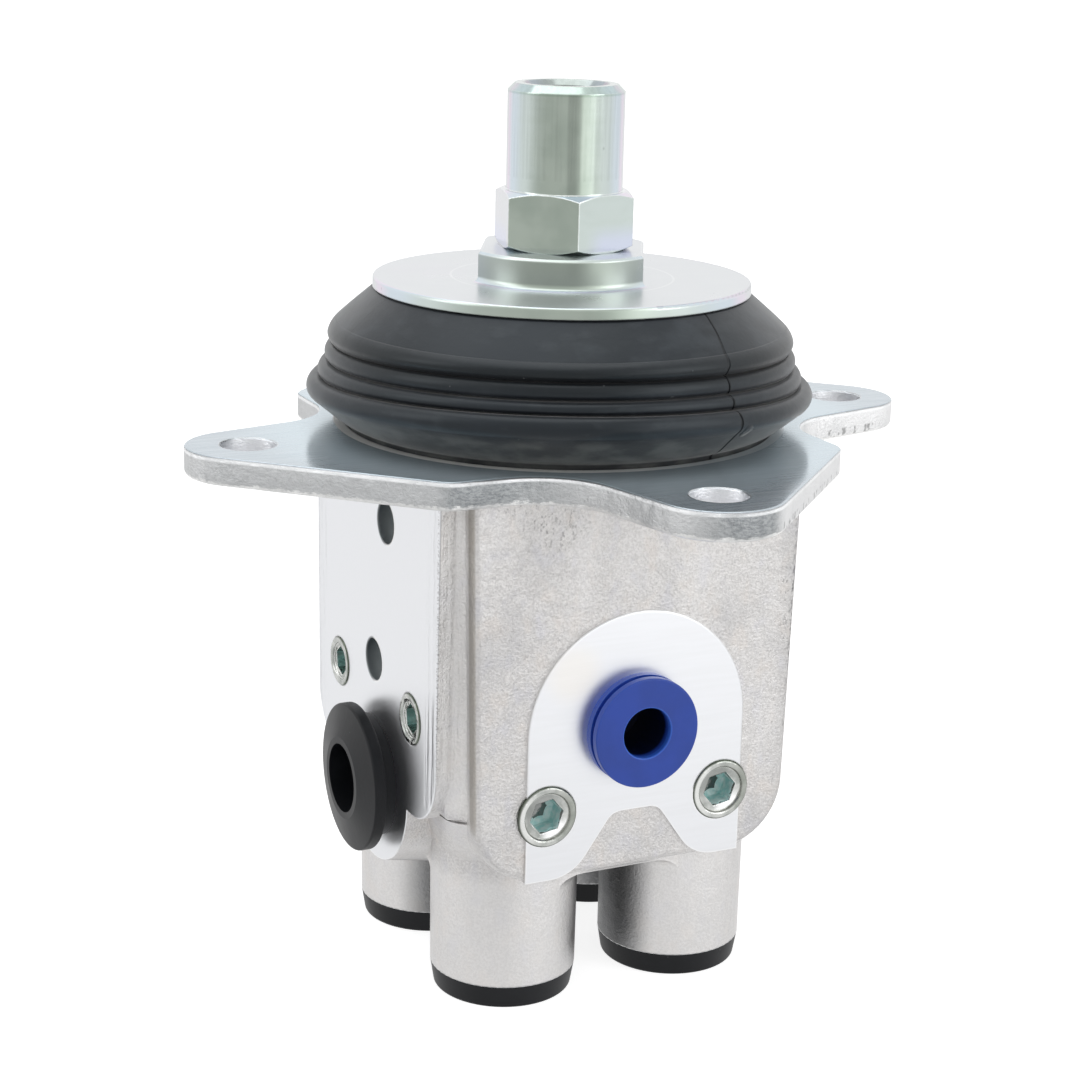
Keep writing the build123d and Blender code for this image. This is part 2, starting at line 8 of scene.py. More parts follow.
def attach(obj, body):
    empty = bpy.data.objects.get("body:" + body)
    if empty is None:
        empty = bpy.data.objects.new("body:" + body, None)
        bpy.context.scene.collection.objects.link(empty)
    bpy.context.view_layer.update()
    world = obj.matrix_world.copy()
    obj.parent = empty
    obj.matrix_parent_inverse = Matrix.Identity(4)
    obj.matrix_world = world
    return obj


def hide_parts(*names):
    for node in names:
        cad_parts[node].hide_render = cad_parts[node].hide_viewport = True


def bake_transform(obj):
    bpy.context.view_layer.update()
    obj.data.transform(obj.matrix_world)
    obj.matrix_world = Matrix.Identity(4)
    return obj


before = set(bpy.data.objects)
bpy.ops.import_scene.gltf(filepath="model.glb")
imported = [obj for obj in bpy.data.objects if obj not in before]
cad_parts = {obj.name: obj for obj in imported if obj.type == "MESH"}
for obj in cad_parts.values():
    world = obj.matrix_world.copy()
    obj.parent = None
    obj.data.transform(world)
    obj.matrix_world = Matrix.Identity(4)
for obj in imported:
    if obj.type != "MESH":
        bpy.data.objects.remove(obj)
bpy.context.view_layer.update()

# ---------------------------------------------------------------------------
# Camera, room, floor and studio lights. The valve stands on its four leg caps
# on a pale table, with soft boxes to its right, above it and to its left.
# ---------------------------------------------------------------------------
scene = bpy.context.scene
scene.view_settings.view_transform = "Standard"
MM = 0.001

CAMERA_TURN = math.radians(-26.211)
CAMERA_DISTANCE = 410.056 * MM
CAMERA_HEIGHT = 91.827 * MM
CAMERA_HEADING = math.radians(-25.824)
CAMERA_PITCH = math.radians(15.599)
CAMERA_ROLL = math.radians(1.349)
CAMERA_LENS = 78.18

camera_data = bpy.data.cameras.new("studio_camera")
camera_data.sensor_width = 36
camera_data.lens = CAMERA_LENS
camera_data.clip_start = 0.01
camera_data.clip_end = 30
camera = bpy.data.objects.new("studio_camera", camera_data)
scene.collection.objects.link(camera)
scene.camera = camera

ahead = Vector((
    -math.sin(CAMERA_HEADING) * math.cos(CAMERA_PITCH),
    math.cos(CAMERA_HEADING) * math.cos(CAMERA_PITCH),
    -math.sin(CAMERA_PITCH)))
level_right = Vector((math.cos(CAMERA_HEADING), math.sin(CAMERA_HEADING), 0))
level_up = level_right.cross(ahead)
right = math.cos(CAMERA_ROLL) * level_right + math.sin(CAMERA_ROLL) * level_up
up = -math.sin(CAMERA_ROLL) * level_right + math.cos(CAMERA_ROLL) * level_up
camera.matrix_world = Matrix((
    (right.x, up.x, -ahead.x, CAMERA_DISTANCE * math.sin(CAMERA_TURN)),
    (right.y, up.y, -ahead.y, -CAMERA_DISTANCE * math.cos(CAMERA_TURN)),
    (right.z, up.z, -ahead.z, CAMERA_HEIGHT),
    (0, 0, 0, 1)))


def put(tree, kind, inputs=None, out=0, **settings):
    """Add a node, fill its inputs with values or sockets, and return one of its outputs."""
    made = tree.nodes.new(kind)
    for name, value in settings.items():
        setattr(made, name, value)
    for key, value in (inputs or {}).items():
        socket = made.inputs[key]
        if isinstance(value, bpy.types.NodeSocket):
            tree.links.new(value, socket)
        else:
            socket.default_value = value
    return made.outputs[out] if made.outputs else made


def tree_of(*values):
    """The node tree that the first socket among these values belongs to."""
    return next(value.id_data for value in values if isinstance(value, bpy.types.NodeSocket))


def calc(operation, *values):
    return put(tree_of(*values), "ShaderNodeMath", dict(enumerate(values)), operation=operation)


def chain(operation, first, others):
    for other in others:
        first = calc(operation, first, other)
    return first


def times(first, *others):
    return chain("MULTIPLY", first, others)


def plus(first, *others):
    return chain("ADD", first, others)


def largest(first, *others):
    return chain("MAXIMUM", first, others)


def minus(first, *others):
    return chain("SUBTRACT", first, others)


def size_of(value):
    return calc("ABSOLUTE", value)


def rest_of(share):
    """What a share leaves of 1."""
    return minus(1.0, share)


def along(vector, direction):
    """How far a vector points in a direction."""
    return put(vector.id_data, "ShaderNodeVectorMath", {0: vector, 1: direction}, out=1,
               operation="DOT_PRODUCT")


def ease(value, start, end, low=0.0, high=1.0):
    """Value mapped smoothly from one range to another and held at both ends."""
    return put(tree_of(value), "ShaderNodeMapRange", {
        "Value": value, "From Min": start, "From Max": end, "To Min": low, "To Max": high,
    }, interpolation_type="SMOOTHSTEP")


def mix(share, first, second):
    """A number between two others."""
    return put(tree_of(share, first, second), "ShaderNodeMix", {0: share, 2: first, 3: second},
               data_type="FLOAT")


def over(colour, tone, *shares, blend="MIX"):
    """A tone laid over a colour, as thickly as the product of the shares."""
    share = times(*shares)
    first, second = ((*c, 1) if isinstance(c, tuple) else c for c in (colour, tone))
    return put(tree_of(share, colour), "ShaderNodeMix", {0: share, 6: first, 7: second}, out=2,
               data_type="RGBA", blend_type=blend)


def grey(value):
    return (value, value, value)


def level_way(degrees):
    """Level direction at an angle from the X axis."""
    return Vector((math.cos(math.radians(degrees)), math.sin(math.radians(degrees)), 0))


# The room: white where the camera or a polished face sees it, darker behind the camera.
ROOM_DARK_SIDE = level_way(-132)
ROOM_WINDOW_SIDE = level_way(-71)
ROOM_STAND_SIDE = level_way(-101)
ROOM_LIGHT = 1.0
ROOM_DARK = 0.84
ROOM_WINDOW = 0.62
ROOM_WINDOW_HAZE = 0.10
ROOM_STAND = 0.24
ROOM_FILL = 0.40


def room_glow(heading):
    """Brightness of the room in a level direction, as polished metal mirrors it."""
    window = along(heading, ROOM_WINDOW_SIDE)
    base = ease(along(heading, ROOM_DARK_SIDE), 0.42, 0.86, ROOM_LIGHT, ROOM_DARK)
    base = minus(base, ease(along(heading, ROOM_STAND_SIDE), 0.975, 0.988, 0.0, ROOM_STAND))
    base = plus(base, ease(window, 0.6, 0.95, 0.0, ROOM_WINDOW_HAZE))
    return plus(base, ease(window, 0.955, 0.980, 0.0, ROOM_WINDOW))


world = bpy.data.worlds.new("studio_room")
scene.world = world
world.use_nodes = True
room = world.node_tree
room.nodes.clear()
path = room.nodes.new("ShaderNodeLightPath").outputs
seen = largest(path["Is Glossy Ray"], path["Is Transmission Ray"])
level = mix(seen, ROOM_FILL, room_glow(put(room, "ShaderNodeTexCoord", out=0)))
level = mix(path["Is Camera Ray"], level, 1.0)
sky = put(room, "ShaderNodeBackground", {"Color": (1, 1, 1, 1), "Strength": level})
put(room, "ShaderNodeOutputWorld", {"Surface": sky})

# The table top: lit by the lamps, with a white glow that covers the fall-off of their light.
# Polished metal sees it as the room's own brightness, a little darker.
FLOOR_Z = -98.5 * MM
FLOOR_REACH = 6.0
FLOOR_DIMMER = 0.14
corners = [(-FLOOR_REACH, -FLOOR_REACH), (FLOOR_REACH, -FLOOR_REACH), (FLOOR_REACH, FLOOR_REACH),
           (-FLOOR_REACH, FLOOR_REACH)]
floor_mesh = bpy.data.meshes.new("studio_floor")
floor_mesh.from_pydata([(across, deep, FLOOR_Z) for across, deep in corners], [], [(0, 1, 2, 3)])
floor = bpy.data.objects.new("studio_floor", floor_mesh)
scene.collection.objects.link(floor)
floor_material = bpy.data.materials.new("pale_table")
floor_material.use_nodes = True
table = floor_material.node_tree
table.nodes.clear()
place = put(table, "ShaderNodeTexCoord", out=3)
away = put(table, "ShaderNodeVectorMath", {0: place}, out=1, operation="LENGTH")
heading = put(table, "ShaderNodeVectorMath", {0: place}, operation="NORMALIZE")
mirror = mix(ease(away, 0.06, 0.16), 0.96, room_glow(heading))
rays = table.nodes.new("ShaderNodeLightPath").outputs
mirrored = largest(rays["Is Glossy Ray"], rays["Is Transmission Ray"])
strength = mix(rays["Is Camera Ray"], 0.0, ease(away, 0.05, 0.5, 0.84, 1.0))
strength = mix(mirrored, strength, minus(mirror, FLOOR_DIMMER))
cloth = put(table, "ShaderNodeBsdfDiffuse", {"Color": over(grey(0.62), grey(0.18), mirrored)})
shine = put(table, "ShaderNodeEmission", {"Color": (1, 1, 1, 1), "Strength": strength})
put(table, "ShaderNodeOutputMaterial", {"Surface": put(table, "ShaderNodeAddShader", {0: cloth, 1: shine})})
floor_mesh.materials.append(floor_material)

LAMP_AIM = Vector((0, 0, -0.02))
LAMPS = (
    ("soft_box_right", (0.62, -0.78, 0.42), 0.55, 0.9, 2.4),
    ("soft_box_top", (-0.10, 0.15, 0.95), 0.9, 0.9, 2.6),
    ("soft_box_left", (-0.95, 0.10, 0.45), 0.5, 0.8, 1.6),
)
for name, where, width, height, power in LAMPS:
    lamp_data = bpy.data.lights.new(name, "AREA")
    lamp_data.shape = "RECTANGLE"
    lamp_data.size = width
    lamp_data.size_y = height
    lamp_data.energy = power
    lamp = bpy.data.objects.new(name, lamp_data)
    scene.collection.objects.link(lamp)
    lamp.location = where
    lamp.rotation_euler = (LAMP_AIM - Vector(where)).to_track_quat("-Z", "Y").to_euler()

# ---------------------------------------------------------------------------
# Valve body and flange. One aluminium gravity casting with a fine sand-like
# skin; the flange top, the left face, the pad round the pressure port and all
# bores are machined bright, and the flange's edge is fettled by hand.
# ---------------------------------------------------------------------------


def new_group(name, inputs, outputs):
    """Empty shader node group with named sockets; returns the tree, its inputs and its output node."""
    tree = bpy.data.node_groups.new(name, "ShaderNodeTree")
    for kind, label, value in inputs:
        socket = tree.interface.new_socket(label, in_out="INPUT", socket_type="NodeSocket" + kind)
        socket.default_value = value
    for kind, label in outputs:
        tree.interface.new_socket(label, in_out="OUTPUT", socket_type="NodeSocket" + kind)
    return tree, tree.nodes.new("NodeGroupInput").outputs, tree.nodes.new("NodeGroupOutput").inputs


def use_group(tree, group, inputs):
    """Place a shared group, fill its inputs and return its outputs by name."""
    made = tree.nodes.new("ShaderNodeGroup")
    made.node_tree = group
    for key, value in inputs.items():
        made.inputs[key].default_value = value
    return made.outputs


def split(vector):
    """The x, y and z of a vector."""
    made = vector.id_data.nodes.new("ShaderNodeSeparateXYZ")
    vector.id_data.links.new(vector, made.inputs[0])
    return made.outputs


def coordinates(tree):
    """The object's own point in metres, then its x, y and z in millimetres."""
    point = put(tree, "ShaderNodeTexCoord", out=3)
    return point, *split(put(tree, "ShaderNodeVectorMath", {0: point, 3: 1000.0}, operation="SCALE"))


def off_axis(a, a0, b, b0):
    """Distance from an axis through (a0, b0)."""
    one = minus(a, a0)
    two = minus(b, b0)
    return calc("SQRT", plus(times(one, one), times(two, two)))


def stretched(point, scale, turn=(0, 0, 0)):
    return put(point.id_data, "ShaderNodeMapping", {"Vector": point, "Rotation": turn, "Scale": scale})


def mottle(point, scale, detail=2.0, roughness=0.5):
    """Noise from 0 to 1; the scale is the number of spots in a metre."""
    return put(point.id_data, "ShaderNodeTexNoise", {
        "Vector": point, "Scale": scale, "Detail": detail, "Roughness": roughness})


def ramp(value, low, high, start=-1.0):
    """Value mapped evenly from start to 1 onto low to high."""
    return put(value.id_data, "ShaderNodeMapRange", {
        "Value": value, "From Min": start, "To Min": low, "To Max": high})


def bump(height, strength, distance, **normal):
    """Small relief on the surface; another normal than the face's own may be given."""
    return put(height.id_data, "ShaderNodeBump", {
        "Strength": strength, "Distance": distance, "Height": height, **normal})


# Rounded, slightly polished edges, paler partly from wear and partly as a painted highlight: 1 on a sharp
# edge, 0 on the flat.
worn_edge_highlight, given, result = new_group(
    "worn_edge_highlight", [("Float", "Width", 0.0003), ("Float", "Break Up", 900.0)],
    [("Float", "Mask"), ("Vector", "Soft Normal")])
soft = put(worn_edge_highlight, "ShaderNodeBevel", {"Radius": given["Width"]}, samples=6)
turn = along(soft, put(worn_edge_highlight, "ShaderNodeNewGeometry", out="Normal"))
patchy = mottle(put(worn_edge_highlight, "ShaderNodeTexCoord", out=3), given["Break Up"])
edge = times(ease(turn, 0.995, 0.90), ease(patchy, 0.25, 0.55, 0.45, 1.0))
worn_edge_highlight.links.new(edge, result["Mask"])
worn_edge_highlight.links.new(soft, result["Soft Normal"])

# Slow uneven tone that most finishes have, from -1 to 1.
cloudy, given, result = new_group(
    "cloudy_tone", [("Float", "Scale", 60.0), ("Float", "Detail", 3.0), ("Vector", "Stretch", (1, 1, 1))],
    [("Float", "Tone")])
here = put(cloudy, "ShaderNodeTexCoord", out=3)
here = put(cloudy, "ShaderNodeVectorMath", {0: here, 1: given["Stretch"]}, operation="MULTIPLY")
cloudy.links.new(put(cloudy, "ShaderNodeMapRange", {
    "Value": mottle(here, given["Scale"], given["Detail"]),
    "From Min": 0.3, "From Max": 0.7, "To Min": -1.0, "To Max": 1.0}), result["Tone"])

# Fine scattered specks, 1 in the middle of each.
specks, given, result = new_group(
    "specks", [("Float", "Scale", 700.0), ("Float", "Size", 0.12), ("Float", "Share", 0.3),
               ("Vector", "Stretch", (1, 1, 1))],
    [("Float", "Mask")])
here = put(specks, "ShaderNodeTexCoord", out=3)
here = put(specks, "ShaderNodeVectorMath", {0: here, 1: given["Stretch"]}, operation="MULTIPLY")
cells = specks.nodes.new("ShaderNodeTexVoronoi")
specks.links.new(here, cells.inputs["Vector"])
specks.links.new(given["Scale"], cells.inputs["Scale"])
pick = put(specks, "ShaderNodeSeparateColor", {"Color": cells.outputs["Color"]})
round_spot = put(specks, "ShaderNodeMapRange", {
    "Value": cells.outputs["Distance"], "From Min": given["Size"], "From Max": 0.0})
specks.links.new(times(calc("LESS_THAN", pick, given["Share"]), round_spot), result["Mask"])


def edge_wear_highlight(tree, width, break_up=900.0):
    return use_group(tree, worn_edge_highlight, {"Width": width, "Break Up": break_up})


def clouds(tree, scale, detail=3.0, stretch=(1, 1, 1)):
    return use_group(tree, cloudy, {"Scale": scale, "Detail": detail, "Stretch": stretch})["Tone"]


def speckle(tree, scale, size, share, stretch=(1, 1, 1)):
    return use_group(tree, specks, {"Scale": scale, "Size": size, "Share": share, "Stretch": stretch})["Mask"]


def new_material(name):
    material = bpy.data.materials.new(name)
    material.use_nodes = True
    tree = material.node_tree
    tree.nodes.clear()
    shader = tree.nodes.new("ShaderNodeBsdfPrincipled")
    tree.links.new(shader.outputs[0], tree.nodes.new("ShaderNodeOutputMaterial").inputs["Surface"])
    return material, tree, shader


def finish(shader, **sockets):
    """Set or link the shader's own sockets; underscores stand for blanks in their names."""
    for name, value in sockets.items():
        socket = shader.inputs[name.replace("_", " ").title().replace("Ior", "IOR")]
        if isinstance(value, bpy.types.NodeSocket):
            shader.id_data.links.new(value, socket)
        else:
            socket.default_value = value


def paint(material, *names):
    """Give CAD nodes this material in their slots."""
    for name in names:
        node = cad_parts[name]
        if node.material_slots:
            for slot in node.material_slots:
                slot.link = "OBJECT"
                slot.material = material
        else:
            node.data.materials.append(material)


CORNERS = ("front_left", "front_right", "rear_right", "rear_left")
CAST_TONE = (0.585, 0.572, 0.565)
CAST_LIGHT = (0.705, 0.692, 0.685)
CAST_WARM = (0.70, 0.645, 0.60)
CAST_COOL = (0.58, 0.58, 0.63)
CAST_PIT = (0.20, 0.195, 0.20)
CAST_PALE = (0.80, 0.79, 0.79)
CAST_DULL = (0.44, 0.44, 0.45)
CAST_SHADE = (0.07, 0.075, 0.08)
CORNER_TONE = (0.88, 0.87, 0.86)
CORNER_WRINKLE = (0.40, 0.39, 0.38)
GROOVE_SHADE = (0.31, 0.285, 0.25)
RIM_DEEP, RIM_FILED = (0.26, 0.275, 0.285), (0.40, 0.415, 0.425)
RIM_LEFT, RIM_RIGHT = (0.70, 0.705, 0.71), (0.86, 0.86, 0.865)
RIM_LIGHT, RIM_SHADE = (0.62, 0.63, 0.635), (0.17, 0.185, 0.195)
RIM_SKIN, RIM_CREST = (0.97, 0.97, 0.96), (0.90, 0.91, 0.92)
MACHINED_DEEP, MACHINED_TONE = (0.793, 0.803, 0.825), (0.81, 0.82, 0.845)
SATIN_DEEP, SATIN_TONE = (0.54, 0.62, 0.68), (0.66, 0.73, 0.79)
SATIN_BOOT_REFLECTION = (0.78, 0.92, 1.0)
HOLE_MOUTH, HOLE_INSIDE = (0.30, 0.33, 0.345), (0.80, 0.84, 0.85)
PAD_PLANE = -33.8
PAD_SPOT_X, PAD_SPOT_Z = -12.5, -36.0
SIDE_PLANE = -35.0
SIDE_FACE_EDGE = -28.25
FLANGE_TOP = -0.45
FLANGE_UNDER = -5.3
BLOCK_FOOT = -60.0
LEG_TOP = -72.0
LEG_END = -94.2
SCREW_CIRCLE = 58.1
SCREW_HOLE_RADIUS = 4.9
SIDE_HOLE_EDGE = 3.9
UPPER_HOLE_Y, UPPER_HOLE_Z = -5.2, -14.6
LOWER_HOLE_Y, LOWER_HOLE_Z = 0.0, -41.0
HOLES_PART = -28.0
PANEL_HALF = 31.3
PANEL_FLAT = 31.0
PANEL_DRAFT = 0.0206
SEAT_RING_INNER, SEAT_RING_OUTER = 38.0, 40.3

cast, tree, shader = new_material("cast_aluminium")
point, x, y, z = coordinates(tree)
far = largest(size_of(x), size_of(y))
near = calc("MINIMUM", size_of(x), size_of(y))
radius = off_axis(x, 0.0, y, 0.0)

# Where the cutter has been: 1 on each machined face and bore.
below = ease(z, FLANGE_UNDER, FLANGE_UNDER - 0.3)
pad = times(below, ease(y, PAD_PLANE + 0.1, PAD_PLANE - 0.1))
left_face = times(below, ease(x, SIDE_PLANE + 0.1, SIDE_PLANE - 0.1))
top_face = ease(z, FLANGE_TOP + 0.1, FLANGE_TOP + 0.4)
leg_end = ease(z, LEG_END + 0.05, LEG_END - 0.05)
from_screw = off_axis(far, SCREW_CIRCLE, near, 0.0)
screw_hole = times(ease(from_screw, SCREW_HOLE_RADIUS + 0.2, SCREW_HOLE_RADIUS + 0.1),
                   ease(z, FLANGE_UNDER + 0.1, FLANGE_UNDER + 0.3))
from_upper = off_axis(y, UPPER_HOLE_Y, z, UPPER_HOLE_Z)
from_lower = off_axis(y, LOWER_HOLE_Y, z, LOWER_HOLE_Z)
side_holes = times(largest(ease(from_upper, SIDE_HOLE_EDGE + 0.1, SIDE_HOLE_EDGE),
                           ease(from_lower, SIDE_HOLE_EDGE + 0.1, SIDE_HOLE_EDGE)), ease(x, -20.0, -22.0))
machined = largest(pad, left_face, top_face, leg_end, screw_hole, side_holes)
rim = times(ease(z, FLANGE_UNDER - 0.3, FLANGE_UNDER + 0.3), rest_of(top_face), ease(radius, 35.0, 36.0))
legs = ease(z, LEG_TOP, LEG_TOP - 4.0)

# Grain, flecks and pits of the cast skin, with its warm, cool, pale and dark patches.
grain = mottle(point, 2300.0, 4.0, 0.62)
coarse = mottle(point, 340.0, 3.0, 0.55)
flow = clouds(tree, 110.0, 5.0, (1.0, 1.0, 0.45))
hue = clouds(tree, 210.0, 3.0, (1.3, 1.0, 0.8))
fleck = mottle(stretched(point, (1.0, 1.0, 0.55)), 2100.0)
upper_corner = times(ease(x, 6.0, -24.0), ease(z, -34.0, -12.0))
right_edge = ease(x, 26.0, 30.5)
crowded = times(ease(mottle(point, 60.0, 3.0), 0.42, 0.62),
                plus(0.35, largest(times(upper_corner, 0.8), right_edge)), rest_of(times(legs, 0.75)))
flecks = times(ease(fleck, 0.575, 0.70), crowded)
pits = times(speckle(tree, 760.0, 0.30, 0.10, (1, 1, 0.5)), crowded)
skin = over(CAST_TONE, CAST_LIGHT, ease(grain, 0.36, 0.64))
skin = over(skin, CAST_WARM, ease(hue, 0.1, 1.0), 0.38)
skin = over(skin, CAST_COOL, ease(hue, -0.1, -1.0), 0.38)
skin = over(skin, CAST_PALE, ease(flow, 0.0, 1.0), 0.30)
skin = over(skin, CAST_DULL, ease(flow, 0.0, -1.0), 0.30)
skin = over(skin, (0.80, 0.79, 0.785), legs, 0.45)
# Painted shade: the body darkens towards its right edge.
skin = over(skin, (0.42, 0.415, 0.41), right_edge, 0.30)
skin = over(skin, CAST_PIT, flecks, 0.40)
skin = over(skin, CAST_PIT, pits, 0.4)

# Painted shade between the legs and in the groove beside each raised panel; the drawn strip on the block's
# corners.
skin = over(skin, CAST_SHADE, ease(near, 9.0, 4.0), ease(z, LEG_TOP - 0.5, LEG_TOP - 4.5), 0.80)
panel_side = plus(size_of(x), calc("MULTIPLY_ADD", z, -PANEL_DRAFT, -PANEL_HALF))
groove = times(ease(panel_side, 2.4, 0.3), ease(panel_side, -0.40, -0.10), below,
               ease(z, BLOCK_FOOT - 6.0, BLOCK_FOOT), ease(size_of(y), PANEL_FLAT - 0.4, PANEL_FLAT + 0.4))
corner = times(ease(plus(size_of(x), size_of(y)), 58.0, 60.0), below,
               ease(z, BLOCK_FOOT - 1.0, BLOCK_FOOT + 1.0),
               largest(ease(panel_side, -0.1, 0.1), ease(size_of(y), PANEL_FLAT, PANEL_FLAT - 1.0)))
wrinkle = mottle(stretched(point, (1.0, 1.0, 0.07)), 620.0, 4.0)
skin = over(skin, CORNER_WRINKLE, corner, ease(wrinkle, 0.52, 0.36, 0.0, 0.30))
outward = put(tree, "ShaderNodeNewGeometry", out="Normal")
# Painted light: the down-facing ledge at the block's foot is painted near white to lift its shade; it is also
# less metallic.
ledge = times(ease(along(outward, (0.0, 0.0, -1.0)), 0.3, 0.8), ease(z, BLOCK_FOOT, BLOCK_FOOT - 1.0),
              ease(z, LEG_TOP - 3.0, LEG_TOP))
skin = over(skin, (1.0, 0.99, 0.98), ledge)
# Painted light: the drawn strip on the block's corners is painted paler.
skin = over(skin, CORNER_TONE, corner, 0.40)
skin = over(skin, GROOVE_SHADE, groove, 0.66)
# A dark mottled patch beside the front panel's right edge, stronger towards its top.
dark_patch = times(ease(panel_side, -1.5, -0.6), ease(panel_side, 0.5, -0.1), ease(x, 25.0, 28.0),
               ease(y, -28.0, -31.0), ease(calc("MULTIPLY_ADD", flow, 0.08, fleck), 0.47, 0.58))
skin = over(skin, (0.13, 0.13, 0.14), dark_patch, ease(z, -50.0, -36.0), 0.6)
# Edges paler, partly from wear and partly as a painted highlight.
wear_highlight = edge_wear_highlight(tree, 0.0005, 500.0)
edges = wear_highlight["Mask"]
skin = over(skin, (0.82, 0.81, 0.80), edges, 0.6)

# The flange's fettled edge: dark file marks, painted light where it faces left or right, cloudy painted light
# and shade, a painted highlight along its top, with a ragged lower skin.
scratch = mottle(stretched(point, (0.7, 0.7, 1.7), turn=(0.35, 0.3, 0.0)), 1500.0, 5.0, 0.65)
to_right = along(outward, (0.91, -0.42, 0.0))
to_left = along(outward, (-1.0, 0.1, 0.0))
pale_side = largest(ease(to_right, 0.70, 0.98), ease(x, 36.0, 44.0))
rim_tone = over(RIM_DEEP, RIM_FILED, ease(scratch, 0.36, 0.62))
rim_tone = over(rim_tone, RIM_LEFT, ease(to_left, 0.1, 0.9, 0.0, 0.75))
rim_tone = over(rim_tone, RIM_RIGHT, pale_side, 0.9)
rim_tone = over(rim_tone, RIM_LIGHT, ease(flow, 0.0, 1.0, 0.0, 0.45))
shaded = times(ease(flow, -0.2, -1.0, 0.0, 0.45), calc("MULTIPLY_ADD", pale_side, -0.8, 1.0))
rim_tone = over(rim_tone, RIM_SHADE, shaded)
ragged = calc("MULTIPLY_ADD", scratch, 1.6, calc("MULTIPLY_ADD", coarse, 1.2, z))
rim_tone = over(rim_tone, RIM_SKIN, ease(ragged, -2.6, -3.1), ease(flow, -0.8, 0.6, 0.5, 0.95))
crest = times(ease(z, -0.95, -0.65), ease(flow, -1.0, 0.4, 0.35, 1.0))
rim_tone = over(rim_tone, RIM_CREST, crest)
teeth = times(ease(mottle(stretched(point, (1.0, 1.0, 0.45)), 1250.0, 3.0), 0.55, 0.62), pale_side,
              ease(z, -2.9, -3.3), ease(z, -4.7, -4.3))
rim_tone = over(rim_tone, grey(0.16), teeth, 0.6)
rim_tone = over(rim_tone, grey(0.86), edges, 0.8)
skin = over(skin, rim_tone, rim)

# Milled faces: brushed, bluish and satin on the flange's top, with a painted highlight on the ring where the
# boot sits, strongest on the left.
brushed = mottle(stretched(point, (0.06, 1.0, 1.0), turn=(0, 0, 0.5)), 1400.0, 4.0)
bright = over(MACHINED_DEEP, MACHINED_TONE, ease(brushed, 0.3, 0.7))
satin = over(SATIN_DEEP, SATIN_TONE, ease(brushed, 0.3, 0.7))
satin = over(satin, grey(0.98), speckle(tree, 520.0, 0.13, 0.22, (0.5, 1, 1)), 0.6)
satin = over(satin, (0.55, 0.58, 0.60), ease(flow, 0.0, -1.0, 0.0, 0.25))
# Painted reflection: the flange's top turns paler and bluer towards the boot.
satin = over(satin, SATIN_BOOT_REFLECTION, ease(radius, 62.0, 47.0, 0.0, 0.65))
seat_ring = times(ease(radius, SEAT_RING_OUTER, SEAT_RING_OUTER - 0.3),
                  ease(radius, SEAT_RING_INNER, SEAT_RING_INNER + 0.3), ease(x, 24.0, -20.0, 0.3, 1.0))
satin = over(satin, (0.92, 0.92, 0.90), seat_ring)
# Painted light: the left face is painted a little paler than the pad.
bright = over(bright, (0.87, 0.88, 0.905), left_face, 0.5)
bright = over(bright, satin, top_face)
bright = over(bright, grey(0.94), edges, 0.8)
# Painted reflection: a warm cream spot on the pad's upper left.
warm_reflection = ease(off_axis(x, PAD_SPOT_X, z, PAD_SPOT_Z), 7.0, 2.0)
bright = over(bright, (0.86, 0.80, 0.70), warm_reflection, pad, 0.35)

# The two side holes: each is darker at its mouth and towards its top in painted shade, with a painted
# highlight on one side of its edge.
hole_wall = over(HOLE_MOUTH, HOLE_INSIDE, ease(x, SIDE_PLANE + 0.1, SIDE_PLANE + 2.8))
hole_height = plus(z, ease(z, HOLES_PART, HOLES_PART + 1.0, -LOWER_HOLE_Z, -UPPER_HOLE_Z))
hole_shade = over(hole_wall, (0.42, 0.44, 0.45), 1.0, blend="MULTIPLY")
bright = over(bright, over(hole_wall, hole_shade, ease(hole_height, -3.2, 3.4)), side_holes)
from_hole = calc("MINIMUM", from_upper, from_lower)
hole_ring = times(ease(from_hole, SIDE_HOLE_EDGE + 0.35, SIDE_HOLE_EDGE + 0.1), left_face)
hole_side = plus(y, ease(z, HOLES_PART, HOLES_PART + 1.0, -LOWER_HOLE_Y, -UPPER_HOLE_Y))
hole_tone = over((0.30, 0.32, 0.33), (0.99, 0.99, 0.98), ease(hole_side, 1.5, -1.0))
bright = over(bright, hole_tone, hole_ring, 0.8)

# Torn skin where the cutter left the front edge of the left face.
torn = ease(mottle(stretched(point, (1.0, 0.3, 1.0)), 3600.0), 0.48, 0.60)
panel_edge = times(ease(size_of(plus(y, -SIDE_FACE_EDGE)), 0.5, 0.12), below, ease(x, -34.4, -34.7), torn)
colour = over(skin, bright, machined)
colour = over(colour, grey(0.28), panel_edge, 0.5)

# Shine and relief: the legs and milled faces are smoother, and the fettled edge swells in file strokes.
cast_rough = minus(ramp(coarse, 0.36, 0.54, start=0.0), times(legs, 0.07))
machined_rough = minus(ramp(brushed, 0.29, 0.37, start=0.0), times(top_face, 0.17))
roughness = mix(machined, cast_rough, machined_rough)

